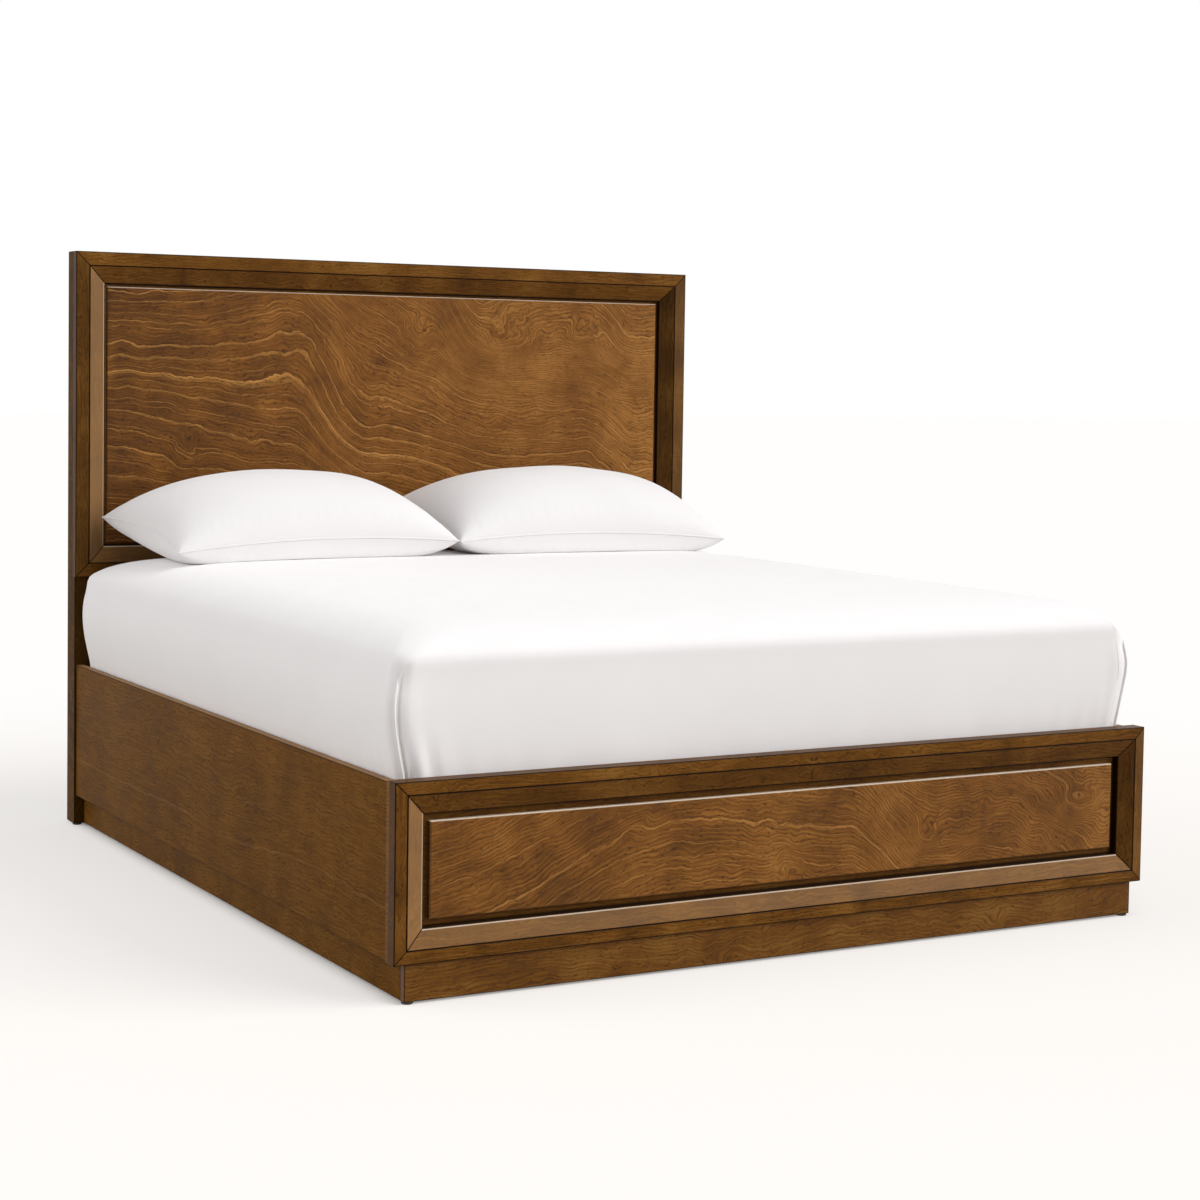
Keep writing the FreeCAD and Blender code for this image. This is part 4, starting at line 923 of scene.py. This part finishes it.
def settle_cloth(name, points, faces, held, reach):
    """Blows a closed cloth up from inside and gives its points where they come to rest.

    The cloth runs for some frames without gravity, held fast at the points whose hold is 1; each
    point then keeps its simulated way, cut to the reach and scaled by what its hold leaves free.
    """
    mesh = bpy.data.meshes.new(name)
    mesh.from_pydata(points.tolist(), [], faces.tolist())
    copy = show(name, mesh)
    group = copy.vertex_groups.new(name="held")
    for number in np.flatnonzero(held >= 1):
        group.add([int(number)], 1.0, "REPLACE")
    cloth = copy.modifiers.new("cloth", "CLOTH")
    cloth.settings.quality = 5
    cloth.settings.use_pressure = True
    cloth.settings.uniform_pressure_force = PILLOW_PRESSURE
    cloth.settings.vertex_group_mass = "held"
    cloth.settings.effector_weights.gravity = 0
    cloth.point_cache.frame_start = 1
    cloth.point_cache.frame_end = SETTLING_FRAMES
    scene = bpy.context.scene
    for number in range(1, SETTLING_FRAMES + 1):
        scene.frame_set(number)
    settled = copy.evaluated_get(bpy.context.evaluated_depsgraph_get()).to_mesh()
    places = np.empty(len(points) * 3)
    settled.vertices.foreach_get("co", places)
    bpy.data.objects.remove(copy)
    bpy.data.meshes.remove(mesh)
    scene.frame_set(1)
    way = places.reshape(-1, 3) - points
    length = np.linalg.norm(way, axis=1, keepdims=True)
    way *= np.minimum(1, reach / np.maximum(length, 1e-9))
    return points + way * (1 - held[:, None])


def swell_pillow(name, upper, lower):
    """Lets the two skins of a pillow swell as one cloth, held at the seam and on the mattress."""
    rows, columns = upper.shape[:2]
    over = np.arange(rows * columns).reshape(rows, columns)
    under = over.copy()
    inside = np.arange((rows - 2) * (columns - 2)).reshape(rows - 2, columns - 2)
    under[1:-1, 1:-1] = inside + rows * columns
    points = np.concatenate([upper.reshape(-1, 3), lower[1:-1, 1:-1].reshape(-1, 3)])
    quads = grid_quads(rows, columns, 0)
    faces = np.concatenate([over.ravel()[quads], under.ravel()[quads[:, ::-1]]])
    to_end = np.minimum(np.arange(columns), np.arange(columns)[::-1]) / columns
    to_side = np.minimum(np.arange(rows), np.arange(rows)[::-1])[:, None] / rows
    seam_hold = 1 - ease(to_end, 0.06, 0.20) * ease(to_side, 0.06, 0.22)
    held = np.ones(len(points))
    held[over.ravel()] = seam_hold.ravel()
    resting = lower[..., 2] < mattress_top(lower[..., 0], lower[..., 1]) + 2 * SOFT_GAP
    held[under[1:-1, 1:-1].ravel()] = np.maximum(seam_hold, resting)[1:-1, 1:-1].ravel()
    points = settle_cloth(name, points, faces, held, PILLOW_SWELLING)
    floor = mattress_top(points[:, 0], points[:, 1]) + SOFT_GAP
    points[:, 2] = np.maximum(points[:, 2], floor)
    return points[over], points[under]


def tube(path, ahead, lean, radius, sides):
    """Carries a circle of a radius along a path, square to the way ahead and turned by a lean."""
    side = np.cross(ahead, lean)
    side /= np.linalg.norm(side, axis=1, keepdims=True)
    up = np.cross(side, ahead)
    up /= np.linalg.norm(up, axis=1, keepdims=True)
    angles = np.linspace(0, TAU, sides + 1)[:, None, None]
    return path + (np.cos(angles) * side + np.sin(angles) * up) * radius


def seam_path(skin):
    """Follows a pillow's seam once round: front, right end, back and left end."""
    edge = [skin[0], skin[1:, -1], skin[-1, -2::-1], skin[-2:0:-1, 0]]
    return np.concatenate(edge)


def make_pillow(side, material):
    """A cased pillow: upper and lower skin joined at the seam, with a fine raised seam round it."""
    rng = np.random.default_rng(PILLOW_SEEDS[side])
    upper, lower = (pillow_skin(side, top, *PILLOW_GRID, rng) for top in (True, False))
    lower[0], lower[-1], lower[:, 0], lower[:, -1] = upper[0], upper[-1], upper[:, 0], upper[:, -1]
    upper, lower = swell_pillow(f"swelling_{side}", upper, lower)
    path = seam_path(upper)
    path = np.concatenate([path, path[:1]])
    ahead = np.gradient(np.concatenate([path[-2:-1], path, path[1:2]]), axis=0)[1:-1]
    piping = tube(path, ahead, np.array([0.0, 0.0, 1.0]), PIPING_RADIUS, 8)
    patches = [(skin, flat_places(skin)) for skin in (upper, lower, piping)]
    return new_surface(f"cased_pillow_{side}", patches, material)


# Dressing the frame


def dress(names, material):
    """Gives nodes of the frame a material in every slot."""
    for name in names:
        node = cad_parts[name]
        if not node.data.materials:
            node.data.materials.append(material)
        for slot in node.material_slots:
            slot.material = material


def board_trim(name, *tones):
    """Gives the trim of a board from its own box: each tone runs along its edges or its top.

    A tone is a share, a colour and how far it reaches down from the top, 0 for the edges.
    """
    low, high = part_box(name)

    def trim(add, place):
        layers = []
        for share, colour, reach in tones:
            if reach:
                height = add("SeparateXYZ", (place,)).outputs["Z"]
                mask = mark_line(add, height, high.z, reach)
            else:
                mask = box_edges(add, place, low, high)
            layers.append((mask, share, colour))
        return layers

    return trim


def frame_trim(low, high, band, width, side):
    """Gives the trim of a frame's moulding: painted light and shade on its bevel and band by side, a
    painted highlight along its inner arris, and its dark lines.

    The dark lines lie in the quirk, along the mitres, inside the frame and, on the front alone,
    round its outline. The outer faces behind that line are stained darker.
    """
    share, colour, arris, painted_band_light = BEVEL_PAINTED_LIGHT_AND_SHADE[side]

    def trim(add, place):
        forth, across, mitre = frame_depths(add, place, low.z, high)
        behind = add("Math", (forth, low.y), "SUBTRACT")
        bevel = add("Math", (across, band + QUIRK), "GREATER_THAN")
        outer = add("Math", (across, 0.3 * MM), "LESS_THAN")
        # The bevel's share and colour are painted light on the left and bottom bevels and painted shade on
        # the right and top ones
        layers = [(bevel, share, colour), (outer, 0.62, OUTER_COLOUR)]
        # Painted light on the band of the right-hand mouldings
        if painted_band_light:
            inner = add("Math", (across, band), "LESS_THAN")
            layers.append((inner, painted_band_light, PALE_WEAR_AND_LIGHT_COLOUR))
        # A painted highlight along the inner arris of the left and bottom mouldings
        if arris:
            layers.append((mark_line(add, across, width - 2.2 * MM, 1.8 * MM), arris, ARRIS_HIGHLIGHT_COLOUR))
        for value, where, reach, least in (
                (mitre, 0, 2.2 * MM, None), (across, 0, 3.0 * MM, behind),
                (across, band + QUIRK / 2, 2.6 * MM, None), (across, width, 1.6 * MM, None)):
            line = mark_line(add, value, where, reach, least)
            layers.append((line, GLAZE_SHARE, GLAZE_COLOUR))
        return layers

    return trim


def recess_glaze_and_shade_trim(low, high, width):
    """Gives the trim of a back panel: dark glaze with painted shade, fading out of the corner under the
    frame.
    """
    def trim(add, place):
        across = frame_depths(add, place, low.z, high)[1]
        framed = add("Math", (across, 0.0), "GREATER_THAN")
        corner = add("MapRange", (across, width + 1 * MM, width + 7 * MM, 1, 0.12), "SMOOTHSTEP")
        corner = add("Math", (corner, framed), "MULTIPLY")
        return [(corner, GLAZE_SHARE, GLAZE_COLOUR)]

    return trim


def dress_wood():
    """Stains the show wood and leaves the hidden wood bare."""
    boards = []
    for board, low, high, band, width, upright in (
            ("footboard", FOOT_MOULDING_LOW, FOOT_TOP, FOOT_BAND, FOOT_MOULDING_WIDTH,
             MOULDING_STAIN),
            ("headboard", HEAD_MOULDING_LOW, HEAD_TOP, HEAD_BAND, HEAD_MOULDING_WIDTH,
             UPRIGHT_STAIN)):
        for side, grain, stain in (("top", "X", MOULDING_STAIN), ("bottom", "X", MOULDING_STAIN),
                                   ("left", "Z", upright), ("right", "Z", upright)):
            boards.append((f"{board}_moulding_{side}", grain, MOULDING_FIGURE, stain,
                           frame_trim(low, high, band, width, side)))
        boards.append((f"{board}_back_panel", "X", RAIL_FIGURE, MOULDING_STAIN,
                       recess_glaze_and_shade_trim(low, high, width)))
    for name, figure, shape in (("footboard_field_panel", FOOT_FIGURE, FOOT_SHAPE),
                                ("headboard_field_panel", HEAD_FIGURE, HEAD_SHAPE)):
        boards.append((name, "X", figure, FIELD_STAIN, board_trim(name, FIELD_EDGES_WEAR_AND_HIGHLIGHT, FIELD_TOP_HIGHLIGHT),
                       shape))
    for name in ("side_rail_left", "side_rail_right"):
        boards.append((name, "Y", RAIL_FIGURE, SIDE_STAIN,
                       board_trim(name, RAIL_TOP_REFLECTION, GLAZED_EDGES)))
    for names, grain, figure, stain in (
            (("plinth_left", "plinth_right"), "Y", PLINTH_FIGURE, SIDE_STAIN),
            (("plinth_front",), "X", PLINTH_FIGURE, FRONT_STAIN),
            (("headboard_top_brace", "headboard_lower_brace", "headboard_base_rail"), "X",
             MOULDING_FIGURE, POST_STAIN),
            (("headboard_post_left", "headboard_post_right"), "Z", MOULDING_FIGURE, POST_STAIN)):
        boards += [(name, grain, figure, stain, board_trim(name, GLAZED_EDGES)) for name in names]
    for seed, (name, grain, figure, stain, trim, *shape) in enumerate(boards, 1):
        dress([name], stained_birch(
            "stained_birch_" + name, grain, figure, stain, trim, seed, *shape))
    dress([f"slat_{number:02d}" for number in range(1, 13)],
          planed_softwood("planed_pine_slats", "X", 1))
    dress([f"{piece}_{side}" for piece in ("slat_ledger", "plinth_batten")
           for side in ("left", "right")] + ["centre_beam"],
          planed_softwood("planed_pine_bearers", "Y", 2))
    dress(["plinth_corner_blocks", "centre_leg_foot", "centre_leg_head"],
          planed_softwood("planed_pine_posts", "Z", 3))


def dress_metal_and_plastic():
    """Zinc on the fittings, black polyethylene on the glides."""
    dress(["beam_brackets", "leg_inserts", "leg_bolts", "leg_adjuster_foot", "leg_adjuster_head",
           "hook_plates", "slot_plates", "plate_screws", "slat_screws", "ledger_screws"],
          zinc_plated_steel())
    dress(["floor_glides"], moulded_polyethylene())


def make_bedding():
    """Sheet, mattress and pillows, each in the place of its nodes."""
    percale = woven_cotton("cotton_percale", "#F1EFEF", "#EBE9E9", 0.9 * MM)
    # The pillows' percale is the sheet's a shade darker: painted shade that tones down the light on the
    # pillows
    shaded_casing = woven_cotton("pillow_percale_painted_shade", "#E6E4E4", "#E0DEDE", 0.9 * MM)
    ticking = woven_cotton("cotton_ticking", "#E4DFD6", "#D8D1C4", 1.6 * MM)
    mattress = make_mattress(ticking)
    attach(mattress, "mattress")
    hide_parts("mattress_core", "mattress_comfort_layer")
    sheet = make_sheet(percale)
    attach(sheet, "mattress")
    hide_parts("fitted_sheet")
    for side in PILLOW_CORNERS:
        pillow = make_pillow(side, shaded_casing)
        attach(pillow, f"pillow_{side}_body")
        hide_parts(f"pillow_{side}", f"pillowcase_{side}")


# Studio


def make_floor():
    """A plain white floor that shows near white to the camera and keeps the bed's shadow.

    Close by, a part of what the camera sees is plain white, further off all of it, and under
    the bed none; to the light that strikes the bed from below, the floor is a mid grey.
    """
    material, add = new_material("white_studio_floor")
    seen = seen_directly(add)
    place = add("TexCoord").outputs["Object"]
    spread = add("VectorMath", (place, (0.0, 0.0, 0.0)), "DISTANCE")
    far = add("MapRange", (spread.outputs["Value"], FLOOR_NEAR, FLOOR_FAR, FLOOR_SHARE, 1.0), "SMOOTHSTEP")
    reach = add("VectorMath", (place,), "ABSOLUTE")
    beyond = add("VectorMath", (reach, (HALF_WIDTH, BED_HIGH.y, 0.0)), "SUBTRACT")
    beyond = add("SeparateXYZ", (beyond,))
    beyond = add("Math", (beyond.outputs["X"], beyond.outputs["Y"]), "MAXIMUM")
    beyond = add("MapRange", (beyond, *OUTLINE_FADE, 0.0, 1.0), "SMOOTHSTEP")
    share = add("Math", (seen, far), "MULTIPLY")
    share = add("Math", (share, beyond), "MULTIPLY")
    colour = add("Mix", {0: seen, 6: linear("#B4AFAA"), 7: linear("#F8F2EB")}, "RGBA")
    paint = add("BsdfDiffuse", {"Color": colour.outputs[2]})
    glow = add("Emission", (linear("#FFFEFD"), 1.0))
    add("OutputMaterial", (add("MixShader", (share, paint, glow)),))
    mesh = bpy.data.meshes.new("studio_floor")
    corners = [(x * FLOOR_REACH, y * FLOOR_REACH, 0)
               for x, y in ((-1, -1), (1, -1), (1, 1), (-1, 1))]
    mesh.from_pydata(corners, [], [(0, 1, 2, 3)])
    mesh.materials.append(material)
    floor = show("studio_floor", mesh)


def make_world():
    """White to the camera and in reflections, and a plain soft light for everything else."""
    world = bpy.data.worlds.new("white_studio")
    bpy.context.scene.world = world
    world.use_nodes = True
    world.node_tree.nodes.clear()
    add = partial(add_node, world.node_tree)
    seen = seen_directly(add)
    strength = add("MapRange", (seen, 0, 1, WORLD_LEVEL, 1.0))
    sky = add("Background", {"Color": (1, 1, 1, 1), "Strength": strength})
    add("OutputWorld", (sky,))


def add_lamp(name, source, irradiance, spread):
    """Hangs a far, broad lamp in a direction; its irradiance over pi is a white wall's brightness."""
    lamp = bpy.data.lights.new(name, "SUN")
    lamp.energy = irradiance
    lamp.angle = math.radians(spread)
    lamp.color = linear(LAMP_COLOUR)[:3]
    holder = show(name, lamp)
    holder.rotation_mode = "QUATERNION"
    holder.rotation_quaternion = Vector(source).to_track_quat("Z", "Y")


def make_camera():
    """The photograph's view: the fitted place, yaw, pitch and roll, with the frame shifted down."""
    yaw, pitch, roll = CAMERA_YAW, CAMERA_PITCH, CAMERA_ROLL
    ahead = Vector((math.sin(yaw), math.cos(yaw), 0))
    right = Vector((math.cos(yaw), -math.sin(yaw), 0))
    up = Vector((0, 0, 1))
    look = ahead * math.cos(pitch) - up * math.sin(pitch)
    top = up * math.cos(pitch) + ahead * math.sin(pitch)
    across = right * math.cos(roll) + top * math.sin(roll)
    above = top * math.cos(roll) - right * math.sin(roll)
    camera = bpy.data.cameras.new("photo_view")
    camera.sensor_width = SENSOR
    camera.lens = FOCAL_PIXELS / PHOTO_PIXELS * SENSOR
    camera.shift_y = (CENTRE_LINE_PIXEL - PHOTO_PIXELS / 2) / PHOTO_PIXELS
    camera.clip_end = 200
    holder = show("photo_view", camera)
    holder.matrix_world = Matrix.Translation(CAMERA_PLACE) @ Matrix(
        (across, above, -look)).transposed().to_4x4()
    bpy.context.scene.camera = holder


def make_studio():
    """Floor, world, lamps and camera."""
    make_floor()
    make_world()
    for lamp in LAMPS:
        add_lamp(*lamp)
    make_camera()
    bpy.context.scene.view_settings.view_transform = "Standard"


dress_wood()
dress_metal_and_plastic()
make_bedding()
make_studio()
